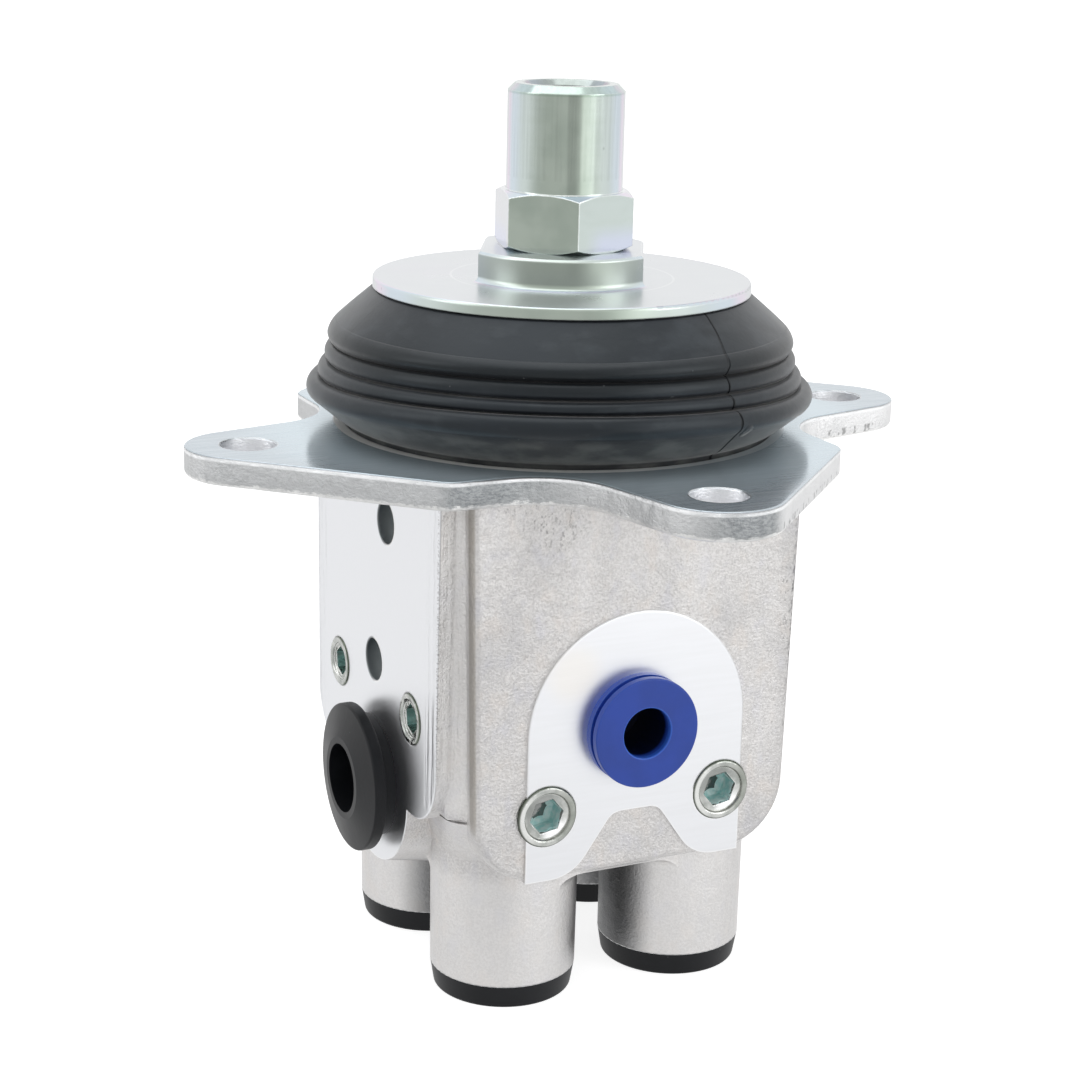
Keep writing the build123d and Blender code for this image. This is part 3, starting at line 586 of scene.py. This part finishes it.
FILE_SWELL = 5.5
relief = plus(times(grain, 1.25), times(coarse, calc("MULTIPLY_ADD", upper_corner, 2.4, 1.3)))
relief = minus(relief, times(flecks, 0.35), times(pits, 0.5))
relief = times(relief, rest_of(times(legs, 0.45)), rest_of(machined))
relief = plus(relief, times(corner, calc("MULTIPLY_ADD", wrinkle, 3.0, -1.5)))
swell = calc("SINE", times(z, -math.pi / FILE_SWELL))
relief = plus(relief, times(rim, plus(scratch, times(swell, 1.6))))
relief = plus(relief, times(machined, brushed, 0.03))
rounded = put(tree, "ShaderNodeMix", {
    0: ease(z, BLOCK_FOOT - 0.5, BLOCK_FOOT + 0.5), 4: outward, 5: wear_highlight["Soft Normal"],
}, out=1, data_type="VECTOR")
metal = minus(1.0, times(top_face, 0.36), times(seat_ring, top_face, 0.6), times(side_holes, 0.6),
              times(ledge, 0.6))
finish(shader, base_color=colour, metallic=metal, roughness=roughness,
       normal=bump(relief, 0.85, 0.0002, Normal=rounded), specular_ior_level=0.3)
paint(cast, "valve_body")

# ---------------------------------------------------------------------------
# Cover plate, plunger guides and their seals. A zinc-plated steel plate clamps
# four turned guides into the body; each has a rubber ring below and a wiper
# round its plunger. The boot hides them all.
# ---------------------------------------------------------------------------

# Fine rings left by the lathe, running round the Z axis on faces and walls.
turned, given, result = new_group(
    "turned_rings", [("Float", "Pitch", 0.00025), ("Float", "Unevenness", 0.5)],
    [("Float", "Height"), ("Float", "Tone")])
here = split(put(turned, "ShaderNodeTexCoord", out=3))
lines = put(turned, "ShaderNodeCombineXYZ", {"X": off_axis(here[0], 0.0, here[1], 0.0), "Y": here[2]})
cut = mottle(lines, calc("DIVIDE", 1.0, given["Pitch"]), 2.0, 0.6)
wide = mottle(lines, 700.0)
turned.links.new(plus(cut, times(wide, given["Unevenness"])), result["Height"])
turned.links.new(wide, result["Tone"])

ZINC_FACE = (0.44, 0.50, 0.44)
ZINC_DEEP = (0.36, 0.42, 0.365)
ZINC_MIDDLE = (0.60, 0.67, 0.65)
ZINC_BLUE = (0.66, 0.74, 0.80)
ZINC_LILAC = (0.82, 0.73, 0.83)
ZINC_EDGE = (0.90, 0.93, 0.92)
BOSS_MARK_RADIUS = 19.6
DISC_TOP = 25.7
BOSS_TOP = 30.7
HEXAGON_FOOT = 31.4
SLEEVE_FOOT = 43.4
LIP_FOOT = 57.6


def zinc_plate(name, ring_strength, lightness):
    """Blue-bright zinc: grey-green seen face on, turning pale, blue and lilac towards its edges."""
    material, tree, shader = new_material(name)
    point, x, y, z = coordinates(tree)
    radius = off_axis(x, 0.0, y, 0.0)
    tone = clouds(tree, 120.0)
    rings = use_group(tree, turned, {"Pitch": 0.00022, "Unevenness": 0.6})
    colour = over(ZINC_DEEP, ZINC_FACE, ease(tone, -1.0, 1.0))
    colour = over(colour, ZINC_MIDDLE, lightness)
    facing = put(tree, "ShaderNodeLayerWeight", {"Blend": 0.5}, out=1)
    film = plus(facing, times(clouds(tree, 38.0, 1.0), 0.03))
    film = plus(film, times(minus(rings["Tone"], 0.5), 0.06))
    colour = over(colour, ZINC_MIDDLE, ease(film, 0.04, 0.30))
    colour = over(colour, ZINC_BLUE, ease(film, 0.28, 0.52))
    colour = over(colour, ZINC_LILAC, ease(film, 0.56, 0.70, 0.0, 0.85))
    colour = over(colour, (0.72, 0.75, 0.76), ease(film, 0.70, 0.84, 0.0, 0.9))
    # Broken edges paler, partly from wear and partly as a painted highlight.
    edges = edge_wear_highlight(tree, 0.00035, 700.0)
    colour = over(colour, ZINC_EDGE, edges["Mask"], 0.85)
    colour = over(colour, (0.16, 0.17, 0.16), speckle(tree, 420.0, 0.10, 0.10, (1, 1, 0.6)), 0.6)

    # Upright streaks on the sleeve and a lilac stain low on the hexagon's right and rear facets.
    drawn = times(ease(mottle(stretched(point, (1.0, 1.0, 0.03)), 1500.0, 4.0), 0.60, 0.36),
                  ease(z, SLEEVE_FOOT - 0.2, SLEEVE_FOOT + 0.2))
    colour = over(colour, grey(0.86), drawn, 0.5, blend="MULTIPLY")
    coupling = ease(z, HEXAGON_FOOT - 0.2, HEXAGON_FOOT + 0.2)
    stain = times(ease(z, 36.5, 32.5), coupling, largest(ease(x, -2.0, 3.0), ease(y, -3.0, -1.0)))
    colour = over(colour, (0.66, 0.69, 0.90), stain, 0.6)

    # The disc's boss is darker on its side, in painted shade, with a fine pale ring about its foot; painted
    # shade darkens the sleeve's mouth, and its lip is slightly greener.
    flank = times(ease(z, DISC_TOP + 0.6, DISC_TOP + 1.1), ease(z, BOSS_TOP, BOSS_TOP - 0.4),
                  ease(radius, 15.0, 16.0))
    colour = over(colour, ZINC_FACE, flank, 0.55)
    colour = over(colour, grey(0.76), flank, blend="MULTIPLY")
    mouth = times(ease(z, 54.5, 56.0), ease(radius, 8.0, 7.2))
    colour = over(colour, grey(0.62), mouth, blend="MULTIPLY")
    lip = times(ease(z, LIP_FOOT - 0.2, LIP_FOOT + 0.2), ease(radius, 7.2, 8.0))
    colour = over(colour, (0.80, 0.86, 0.82), lip, blend="MULTIPLY")
    from_mark = plus(size_of(minus(radius, BOSS_MARK_RADIUS)), size_of(times(minus(z, DISC_TOP), 4.0)))
    colour = over(colour, (0.95, 0.96, 0.96), ease(from_mark, 0.35, 0.0), 0.35)
    rough = minus(ramp(tone, 0.27, 0.31), times(coupling, 0.14))
    finish(shader, base_color=colour, metallic=1.0, roughness=rough,
           normal=bump(rings["Height"], ring_strength, 0.00001, Normal=edges["Soft Normal"]))
    return material


paint(zinc_plate("zinc_plate_flat", 0.35, 0.5), "cover_plate")

steel, tree, shader = new_material("ground_steel")
rings = use_group(tree, turned, {"Pitch": 0.00015, "Unevenness": 0.4})["Height"]
tone = clouds(tree, 150.0)
colour = over((0.50, 0.50, 0.51), (0.58, 0.58, 0.59), ease(tone, -1.0, 1.0))
# Edges paler, partly from wear and partly as a painted highlight.
colour = over(colour, grey(0.80), edge_wear_highlight(tree, 0.00025)["Mask"], 0.7)
finish(shader, base_color=colour, metallic=1.0, roughness=ramp(tone, 0.22, 0.34),
       normal=bump(rings, 0.4, 0.00002))

seal, tree, shader = new_material("seal_rubber")
tone = clouds(tree, 200.0)
colour = over((0.018, 0.018, 0.019), (0.034, 0.034, 0.036), ease(tone, -1.0, 1.0))
finish(shader, base_color=colour, roughness=ramp(tone, 0.35, 0.5))

for corner in CORNERS:
    paint(steel, "plunger_guide_" + corner)
    paint(seal, "guide_seal_" + corner, "wiper_seal_" + corner)

# ---------------------------------------------------------------------------
# Plungers, spring seats, springs and spools. Ground steel pieces and oiled
# spring wire inside the four legs, which only show with the casting lifted.
# ---------------------------------------------------------------------------
spring_wire, tree, shader = new_material("spring_wire")
tone = clouds(tree, 260.0)
colour = over((0.17, 0.17, 0.18), (0.30, 0.30, 0.31), ease(tone, -1.0, 1.0))
finish(shader, base_color=colour, metallic=1.0, roughness=ramp(tone, 0.25, 0.42))
for corner in CORNERS:
    paint(steel, "plunger_" + corner, "spring_seat_" + corner, "spool_" + corner)

# Each spring is a copy of its solid in spring wire, and the solid is hidden. In the valve the return spring's
# foot
# stays in the housing; the metering spring's foot follows the spool, so the still point of its bend lies
# below it:
# the spring is this share of the whole stretch that bends.
METERING_SHARE = 0.6724
for kind, share in (("return_spring_", 1.0), ("metering_spring_", METERING_SHARE)):
    for corner in CORNERS:
        spring = bpy.data.objects.new(kind + corner + "_wire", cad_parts[kind + corner].data.copy())
        scene.collection.objects.link(spring)
        spring.data.materials.clear()
        spring.data.materials.append(spring_wire)
        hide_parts(kind + corner)
        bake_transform(spring)

# ---------------------------------------------------------------------------
# Universal joint. A fixed yoke screwed into the body, a cross with four pins,
# and a moving yoke with the stud that carries the disc, all of turned steel.
# ---------------------------------------------------------------------------
paint(steel, "joint_base", "joint_cross", "joint_yoke")

# ---------------------------------------------------------------------------
# Rubber boot. A moulded bellows, tucked under the disc and pressed into the
# flange's recess, with three ribs, a fine mould seam and dust in its pores.
# It is made in two pieces, below and above its shoulder: in use the boot bends below it with the cross and
# above it with the lever.
# ---------------------------------------------------------------------------
BOOT_TOP = (33.0, 23.6)
BOOT_BULGE = (41.06, 15.8)
BOOT_GROOVES = ((40.5, 13.9), (41.1, 10.8), (42.4, 7.9))
CREASE_HALF = 0.12
CREASE_DEPTH = 0.65
BOOT_RINGS = ((41.6, 12.3), (42.8, 9.35), (44.9, 6.1))
BOOT_SKIRT = (43.9, 4.5)
BOOT_FOOT = (37.9, 0.3)
BOOT_INSIDE = [(37.9, -0.6), (34.9, -0.6), (34.9, 1.0), (40.6, 6.1), (40.6, 7.9), (38.7, 13.9)]
BOOT_COLLAR = [(31.2, 21.9), (31.2, 23.5)]
BOOT_WALL = 2.1
BOOT_SPLIT = 18.0
BOOT_FRONT = math.radians(-116)
BOOT_LIFTS = ((0.5, 0.0), (5.0, 1.7), (7.9, 2.0), (10.8, 1.25), (13.9, 1.05), (16.0, 0.9), (18.0, 0.0))
BOOT_STEPS = 288
BOOT_WAVER, BOOT_WAVE_ROUND, BOOT_WAVE_UP = 0.12, 0.045, 0.12
SEAM_AT = math.radians(-73.7)
SEAM_LEAN = math.radians(4.0)
SEAM_HALF = 0.14
SEAM_DEPTH = 0.26
SEAM_RADIUS = 41.0
SEAM_ROOM = 0.03
REAR_SEAM_AT = math.radians(106.3)
NUB_AT = math.radians(-71.2)
NUB_RADIUS = 44.0
NUB_Z = 5.6
FOLD_LINE_Z = 15.0


def arc_points(a, b, c, count):
    """Points on the circle through three points, from the first to the last."""
    ax, ay = a
    bx, by = b
    cx, cy = c
    twice = 2 * (ax * (by - cy) + bx * (cy - ay) + cx * (ay - by))
    ox = ((ax**2 + ay**2) * (by - cy) + (bx**2 + by**2) * (cy - ay) + (cx**2 + cy**2) * (ay - by)) / twice
    oy = ((ax**2 + ay**2) * (cx - bx) + (bx**2 + by**2) * (ax - cx) + (cx**2 + cy**2) * (bx - ax)) / twice
    radius = math.hypot(ax - ox, ay - oy)
    start = math.atan2(ay - oy, ax - ox)
    turn = math.atan2(cy - oy, cx - ox) - start
    turn = (turn + math.pi) % (2 * math.pi) - math.pi
    angles = [start + turn * i / count for i in range(count)]
    return [(ox + radius * math.cos(angle), oy + radius * math.sin(angle)) for angle in angles]


def smooth_points(points, count):
    """Points on a smooth curve through the given ones, without the last."""
    padded = [points[0]] + list(points) + [points[-1]]
    curve = []
    for a, b, c, d in zip(padded, padded[1:], padded[2:], padded[3:]):
        for i in range(count):
            t = i / count
            curve.append(tuple(
                0.5 * (2 * q + (r - p) * t + (2 * p - 5 * q + 4 * r - s) * t * t
                       + (3 * q - p - 3 * r + s) * t**3)
                for p, q, r, s in zip(a, b, c, d)))
    return curve


def boot_outline():
    """Outside of the bellows from under the disc to its foot, with a sharp crease in each groove."""
    above = [(radius, height + CREASE_HALF) for radius, height in BOOT_GROOVES]
    below = [(radius, height - CREASE_HALF) for radius, height in BOOT_GROOVES]
    outer = smooth_points(
        [BOOT_TOP, (36.3, 20.85), (38.8, 18.7), (40.35, 17.2), BOOT_BULGE, (41.0, 14.9), above[0]], 7)
    for number, (radius, height) in enumerate(BOOT_GROOVES):
        outer += [above[number], (radius - CREASE_DEPTH, height)]
        outer += arc_points(below[number], BOOT_RINGS[number], (above + [BOOT_SKIRT])[number + 1], 14)
    outer += smooth_points([BOOT_SKIRT, (41.7, 2.8), (39.7, 1.35), (38.2, 0.7), BOOT_FOOT], 6)
    return outer + [BOOT_FOOT]


def boot_lift(angle, height):
    """The folds ride up a little towards the front, as a soft boot seldom sits dead level."""
    facing = max(0.0, math.cos(angle - BOOT_FRONT)) ** 1.5
    for (low, rise), (high, next_rise) in zip(BOOT_LIFTS, BOOT_LIFTS[1:]):
        if low <= height <= high:
            return facing * (rise + (next_rise - rise) * (height - low) / (high - low))
    return 0.0


def boot_angles():
    """Even steps round the boot, with close ones for the mould seam's groove."""
    seam = [SEAM_AT + offset * SEAM_HALF / SEAM_RADIUS for offset in (-2, -1, 0, 1, 2)]
    even = [-math.pi + 2 * math.pi * s / BOOT_STEPS for s in range(BOOT_STEPS)]
    return sorted([angle for angle in even if abs(angle - SEAM_AT) > SEAM_ROOM] + seam)


def make_piece(name, verts, faces, material, crease=None):
    """Piece from millimetre points; with a crease angle, edges blunter than it are smooth."""
    mesh = bpy.data.meshes.new(name)
    mesh.from_pydata([tuple(c * MM for c in v) for v in verts], [], faces)
    work = bmesh.new()
    work.from_mesh(mesh)
    bmesh.ops.recalc_face_normals(work, faces=work.faces)
    work.to_mesh(mesh)
    work.free()
    if crease is not None:
        mesh.shade_smooth()
        mesh.set_sharp_from_angle(angle=math.radians(crease))
    mesh.materials.append(material)
    made = bpy.data.objects.new(name, mesh)
    scene.collection.objects.link(made)
    return made


def revolve(name, loop, outside):
    """Turn a closed (radius, height) loop about Z, unevenly, with the seam's groove in its outside points."""
    verts, faces = [], []
    count = len(loop)
    angles = boot_angles()
    for angle in angles:
        aside = abs(angle - SEAM_AT)
        groove = SEAM_DEPTH if aside < 0.1 * SEAM_HALF / SEAM_RADIUS else 0.0
        for number, (radius, height) in enumerate(loop):
            climb = min(1.0, max(0.0, (height - FOLD_LINE_Z) / 8.0))
            lean = SEAM_LEAN * climb * max(0.0, 1.0 - aside / 0.35)
            lean += 0.003 * math.sin(1.3 * height) * max(0.0, 1.0 - aside / 0.1)
            turned = angle + lean
            spot = Vector((radius * math.cos(turned), radius * math.sin(turned), height))
            wave = Vector((spot.x * BOOT_WAVE_ROUND, spot.y * BOOT_WAVE_ROUND, height * BOOT_WAVE_UP))
            wobble = BOOT_WAVER * noise.noise(wave)
            reach = radius + wobble - (groove if number < outside and height > 0.5 else 0.0)
            verts.append((reach * math.cos(turned), reach * math.sin(turned),
                          height + 0.4 * wobble + boot_lift(turned, height)))
    for s in range(len(angles)):
        here, after = s * count, (s + 1) % len(angles) * count
        for p in range(count):
            faces.append((here + p, after + p, after + (p + 1) % count, here + (p + 1) % count))
    return make_piece(name, verts, faces, boot_rubber, crease=45)


boot_rubber, tree, shader = new_material("boot_rubber")
point, x, y, z = coordinates(tree)
grain = mottle(point, 1300.0, 4.0, 0.65)
swirl = clouds(tree, 55.0, 4.0)
flow = clouds(tree, 160.0, 5.0, (1, 1, 2.2))
dust = speckle(tree, 520.0, 0.11, 0.12)
lint = speckle(tree, 260.0, 0.12, 0.06, (1, 1, 2.5))
angle = calc("ARCTAN2", y, x)
seam_at = plus(SEAM_AT, ease(z, 15.5, 23.5, 0.0, SEAM_LEAN))
aside = times(minus(angle, seam_at), SEAM_RADIUS)
seam = ease(size_of(aside), 0.45, 0.20)
rear_seam = ease(size_of(times(minus(angle, REAR_SEAM_AT), SEAM_RADIUS)), 0.28, 0.05)
step = ease(aside, -0.3, 0.3)
nub = ease(off_axis(times(minus(angle, NUB_AT), NUB_RADIUS), 0.0, z, NUB_Z), 1.3, 0.5)
fold = ease(size_of(minus(z, FOLD_LINE_Z)), 0.16, 0.03)
colour = over((0.009, 0.012, 0.016), (0.016, 0.020, 0.026), ease(swirl, -1.0, 1.0))
colour = over(colour, (0.045, 0.052, 0.060), ease(flow, 0.1, 1.0), 0.4)
# Paler cloudy patches above the shoulder: partly bloom on the rubber, partly painted sheen.
bloom_and_sheen = ease(clouds(tree, 90.0, 6.0, (1, 1, 1.6)), 0.1, 1.0)
colour = over(colour, (0.055, 0.066, 0.078), bloom_and_sheen, ease(z, 15.0, 18.0), 0.48)
# The skirt is paler in cloudy patches: painted light from the flange below, partly dust.
colour = over(colour, (0.115, 0.118, 0.114), ease(z, 6.6, 4.6), ease(flow, -0.7, 0.8, 0.35, 1.0))
# Painted shade: the band round the shoulder's bulge is darker.
colour = over(colour, (0.002, 0.003, 0.004), ease(z, 12.6, 14.2), ease(z, 18.6, 16.6), 0.75)
colour = over(colour, (0.34, 0.35, 0.36), largest(dust, lint), 0.4)
colour = over(colour, (0.001, 0.001, 0.002), largest(seam, rear_seam))
relief = minus(times(grain, 0.22), times(rear_seam, 2.0))
relief = plus(relief, times(step, 0.5))
relief = minus(relief, times(fold, ease(flow, 0.0, 0.8, 0.0, 0.3)))
relief = plus(relief, times(flow, 0.16), times(nub, 4.0))
finish(shader, base_color=colour, roughness=ramp(swirl, 0.28, 0.42), normal=bump(relief, 0.8, 0.0001),
       specular_ior_level=0.38, specular_tint=(0.86, 0.95, 1.0, 1), sheen_weight=0.50, sheen_roughness=0.35)

outline = boot_outline()
upper_outer = [p for p in outline if p[1] > BOOT_SPLIT]
lower_outer = [p for p in outline if p[1] < BOOT_SPLIT]
share = (BOOT_SPLIT - lower_outer[0][1]) / (upper_outer[-1][1] - lower_outer[0][1])
cut_at = lower_outer[0][0] + share * (upper_outer[-1][0] - lower_outer[0][0])
split_outer = (cut_at, BOOT_SPLIT)
split_inner = (cut_at - BOOT_WALL, BOOT_SPLIT)
lower_loop = [split_outer] + lower_outer + BOOT_INSIDE + [split_inner]
upper_loop = upper_outer + [split_outer, split_inner] + BOOT_COLLAR
boot_lower = revolve("boot_lower", lower_loop, len(lower_outer) + 1)
boot_upper = revolve("boot_upper", upper_loop, len(upper_outer) + 1)
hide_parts("boot")
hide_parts("boot")
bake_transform(boot_lower)
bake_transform(boot_upper)

# ---------------------------------------------------------------------------
# Swash disc and lever coupling. Turned steel, zinc plated and passivated: pale
# grey-green with lilac and blue shades, bright on every broken edge, partly from wear, partly as painted
# highlight.
# ---------------------------------------------------------------------------
paint(zinc_plate("zinc_plate_turned", 0.3, 0.0), "swash_disc", "lever_coupling")

# ---------------------------------------------------------------------------
# Plugs and caps. A blue moulded plug in the pressure port, a black rubber one
# in the tank port, zinc-plated socket plugs in the galleries, each with a
# smear of blue-green sealant in its socket, and black caps on the legs.
# ---------------------------------------------------------------------------
PORT_Z = -47.0
PORT_MOUTH = -36.3
PORT_BORE = 4.6
PLUG_ASIDE = 16.9
FRONT_PLUG_Z = -61.0
SIDE_PLUG_Z = -46.6
CONE_EDGE = 4.2
FRONT_PLUG_EDGE = 5.12
SIDE_PLUG_EDGE = 4.25

blue, tree, shader = new_material("blue_plastic")
point, x, y, z = coordinates(tree)
tone = clouds(tree, 130.0)
from_port = off_axis(x, 0.0, z, PORT_Z)
colour = over((0.024, 0.080, 0.48), (0.032, 0.095, 0.56), ease(tone, -1.0, 1.0))
# Edges paler, partly from wear and partly as a painted highlight; a painted highlight on the bore's wall just
# inside its mouth, and painted shade, near black, deeper in the bore.
colour = over(colour, (0.06, 0.20, 0.80), edge_wear_highlight(tree, 0.0004)["Mask"], 0.5)
colour = over(colour, (0.055, 0.19, 0.85), ease(from_port, PORT_BORE + 0.25, PORT_BORE),
              ease(y, PORT_MOUTH, PORT_MOUTH - 0.6))
colour = over(colour, (0.001, 0.002, 0.008), ease(from_port, PORT_BORE + 0.2, PORT_BORE - 0.1),
              ease(y, PORT_MOUTH, PORT_MOUTH + 1.1), 0.96)
colour = over(colour, (0.35, 0.40, 0.60), speckle(tree, 700.0, 0.12, 0.08), 0.3)
finish(shader, base_color=colour, roughness=ramp(tone, 0.32, 0.42),
       normal=bump(mottle(point, 900.0), 0.15, 0.00005), subsurface_weight=0.08, subsurface_scale=0.001)
paint(blue, "pressure_port_plug")

black, tree, shader = new_material("black_moulding")
tone = clouds(tree, 90.0)
skin = mottle(put(tree, "ShaderNodeTexCoord", out=3), 1100.0, 3.0)
colour = over((0.007, 0.008, 0.010), (0.013, 0.014, 0.017), ease(tone, -1.0, 1.0))
colour = over(colour, (0.3, 0.31, 0.32), speckle(tree, 560.0, 0.12, 0.10), 0.3)
finish(shader, base_color=colour, roughness=ramp(tone, 0.34, 0.46), normal=bump(skin, 0.25, 0.00006),
       specular_ior_level=0.24)
paint(black, "tank_port_plug", *["outlet_cap_" + corner for corner in CORNERS])

# Socket plugs: a painted highlight on one side of the ring round the socket's cone and painted shade on the
# other, the cone painted likewise; painted shade on the socket floor, in the step at the cone's edge and in
# the gap to the casting. Edges paler, partly from wear and partly as a painted highlight.
plug_zinc, tree, shader = new_material("zinc_plate_plug")
x, y, z = coordinates(tree)[1:]
front_out = off_axis(size_of(x), PLUG_ASIDE, z, FRONT_PLUG_Z)
side_out = off_axis(size_of(y), PLUG_ASIDE, z, SIDE_PLUG_Z)
on_front = ease(y, -30.0, -31.0)
across = calc("DIVIDE", minus(x, times(calc("SIGN", x), PLUG_ASIDE)), front_out)
upward = calc("DIVIDE", minus(z, FRONT_PLUG_Z), front_out)
sweep = plus(times(across, 0.5), times(upward, -0.85))
cone = times(ease(front_out, CONE_EDGE - 0.15, CONE_EDGE - 0.35), on_front)
ring = times(ease(front_out, CONE_EDGE, CONE_EDGE + 0.2), on_front)
step = ease(size_of(minus(front_out, CONE_EDGE)), 0.22, 0.05)
gap = largest(times(ease(front_out, FRONT_PLUG_EDGE, FRONT_PLUG_EDGE + 0.28), on_front),
              times(ease(side_out, SIDE_PLUG_EDGE, SIDE_PLUG_EDGE + 0.25), ease(x, -32.0, -33.0)))
tone = clouds(tree, 420.0)
wear_highlight = edge_wear_highlight(tree, 0.00035)
colour = over((0.34, 0.36, 0.34), (0.60, 0.61, 0.59), ease(tone, -1.0, 1.0))
colour = over(colour, (0.95, 0.95, 0.94), wear_highlight["Mask"], 0.8)
colour = over(colour, (0.28, 0.29, 0.28), cone, ease(sweep, 0.1, -0.8, 0.0, 0.75))
colour = over(colour, grey(1.0), cone, ease(sweep, 0.55, 0.95))
colour = over(colour, (0.30, 0.32, 0.28), ring, ease(across, 0.0, 0.9, 0.0, 0.6))
colour = over(colour, (0.74, 0.75, 0.73), ring, ease(across, -0.2, -0.8))
colour = over(colour, (0.10, 0.11, 0.11), ease(y, -31.6, -30.6), ease(front_out, 3.5, 3.2), 0.7)
colour = over(colour, (0.16, 0.17, 0.14), step, on_front, 0.7)
colour = over(colour, (0.07, 0.09, 0.06), gap, 0.9)
finish(shader, base_color=colour, metallic=1.0, roughness=0.14,
       normal=bump(tone, 0.5, 0.00012, Normal=wear_highlight["Soft Normal"]))
paint(plug_zinc, "front_gallery_plug_left", "front_gallery_plug_right", "side_gallery_plug_front",
      "side_gallery_plug_rear")

sealant, tree, shader = new_material("thread_sealant")
blot = mottle(put(tree, "ShaderNodeTexCoord", out=3), 900.0, 3.0)
colour = over((0.48, 0.84, 0.82), (0.80, 1.0, 0.98), ease(blot, 0.35, 0.65))
finish(shader, base_color=colour, roughness=0.28, normal=bump(blot, 0.7, 0.0002), specular_ior_level=0.7)

SOCKET_FLOOR = -4.2
SOCKET_TURN = math.radians(10.0)
FRONT_SOCKET_ACROSS, FRONT_PLUG_FACE = 5.6, -34.0
SIDE_SOCKET_ACROSS, SIDE_PLUG_FACE = 4.8, -35.2
SEALANT_SIDE = math.radians(-50.0)
SEALANT_STEPS = 72
SEALANT_CREASE = 28
SEALANT_RISE, SEALANT_FOOT = 3.2, 1.3
SEALANT_THICK, SEALANT_UNEVEN = 0.26, 0.14
SEALANT_SKIN = 0.09
SOCKET_PLAY = 0.02


def sealant_cup(name, socket_across, place, seed):
    """Uneven ring of sealant on the walls of a hexagon socket, thick on one side; the floor stays bare."""
    verts, faces = [], []
    for i in range(SEALANT_STEPS):
        angle = 2 * math.pi * i / SEALANT_STEPS
        within = (angle - SOCKET_TURN) % (math.pi / 3) - math.pi / 6
        wall = (socket_across / 2 - SOCKET_PLAY) / math.cos(within)
        rough = noise.noise(Vector((2.2 * math.cos(angle), 2.2 * math.sin(angle), seed)))
        uneven = noise.noise(Vector((3.0 * math.cos(angle), 3.0 * math.sin(angle), seed + 9)))
        thick = SEALANT_THICK + SEALANT_UNEVEN * uneven
        spread = min(1.0, 0.7 + 0.7 * math.cos(angle - SEALANT_SIDE))
        rim = SOCKET_FLOOR + max(0.2, 0.3 + SEALANT_RISE * spread + 0.8 * rough)
        foot = max(0.3, SEALANT_FOOT * spread)
        for radius, height in (
                (wall, SOCKET_FLOOR + SOCKET_PLAY), (wall, rim), (wall - SEALANT_SKIN, rim - 0.1),
                (wall - 0.6 * thick, SOCKET_FLOOR + 0.12 + 0.35 * spread),
                (wall - foot, SOCKET_FLOOR + SOCKET_PLAY)):
            verts.append(place(radius * math.cos(angle), radius * math.sin(angle), height))
    for i in range(SEALANT_STEPS):
        a, b = 5 * i, 5 * ((i + 1) % SEALANT_STEPS)
        for k in range(5):
            faces.append((a + k, b + k, b + (k + 1) % 5, a + (k + 1) % 5))
    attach(make_piece(name, verts, faces, sealant, crease=SEALANT_CREASE), "housing")


for label, side, seed in (("left", -PLUG_ASIDE, 1.3), ("right", PLUG_ASIDE, 4.1)):
    sealant_cup("front_plug_sealant_" + label, FRONT_SOCKET_ACROSS,
                lambda a, b, c, side=side: (side + a, FRONT_PLUG_FACE - c, FRONT_PLUG_Z + b), seed)
for label, side, seed in (("front", -PLUG_ASIDE, 7.7), ("rear", PLUG_ASIDE, 2.9)):
    sealant_cup("side_plug_sealant_" + label, SIDE_SOCKET_ACROSS,
                lambda a, b, c, side=side: (SIDE_PLUG_FACE - c, side + b, SIDE_PLUG_Z + a), seed)

# ---------------------------------------------------------------------------
# Thread of the lever coupling. A cut metric thread of 1.5 mm pitch in the
# coupling's bore; its crests fade out at the mouth and at the bottom.
# ---------------------------------------------------------------------------
THREAD_PITCH = 1.5
THREAD_STEPS = 60
THREAD_LOW, THREAD_HIGH = 46.2, 57.4
THREAD_ROOT = 6.56
THREAD_LEAST, THREAD_DEEP = 0.06, 0.74
THREAD_HALF, THREAD_LEAST_HALF = 0.68, 0.15
THREAD_CREST_SHARE = 0.13
THREAD_FADE_STEPS = 40
verts, faces = [], []
total = int((THREAD_HIGH - THREAD_LOW) / THREAD_PITCH * THREAD_STEPS)
for i in range(total + 1):
    angle = 2 * math.pi * i / THREAD_STEPS
    height = THREAD_LOW + THREAD_PITCH * i / THREAD_STEPS
    grown = min(1.0, i / THREAD_FADE_STEPS, (total - i) / THREAD_FADE_STEPS)
    crest = THREAD_ROOT - THREAD_LEAST - THREAD_DEEP * grown
    half = THREAD_HALF * max(grown, THREAD_LEAST_HALF)
    flat = THREAD_CREST_SHARE * half
    for radius, lift in ((THREAD_ROOT, -half), (crest, -flat), (crest, flat), (THREAD_ROOT, half)):
        verts.append((radius * math.cos(angle), radius * math.sin(angle), height + lift))
for i in range(total):
    a, b = 4 * i, 4 * (i + 1)
    for k in range(4):
        faces.append((a + k, a + (k + 1) % 4, b + (k + 1) % 4, b + k))
faces.append((3, 2, 1, 0))
faces.append((4 * total, 4 * total + 1, 4 * total + 2, 4 * total + 3))
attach(make_piece("lever_thread", verts, faces, steel), "lever")
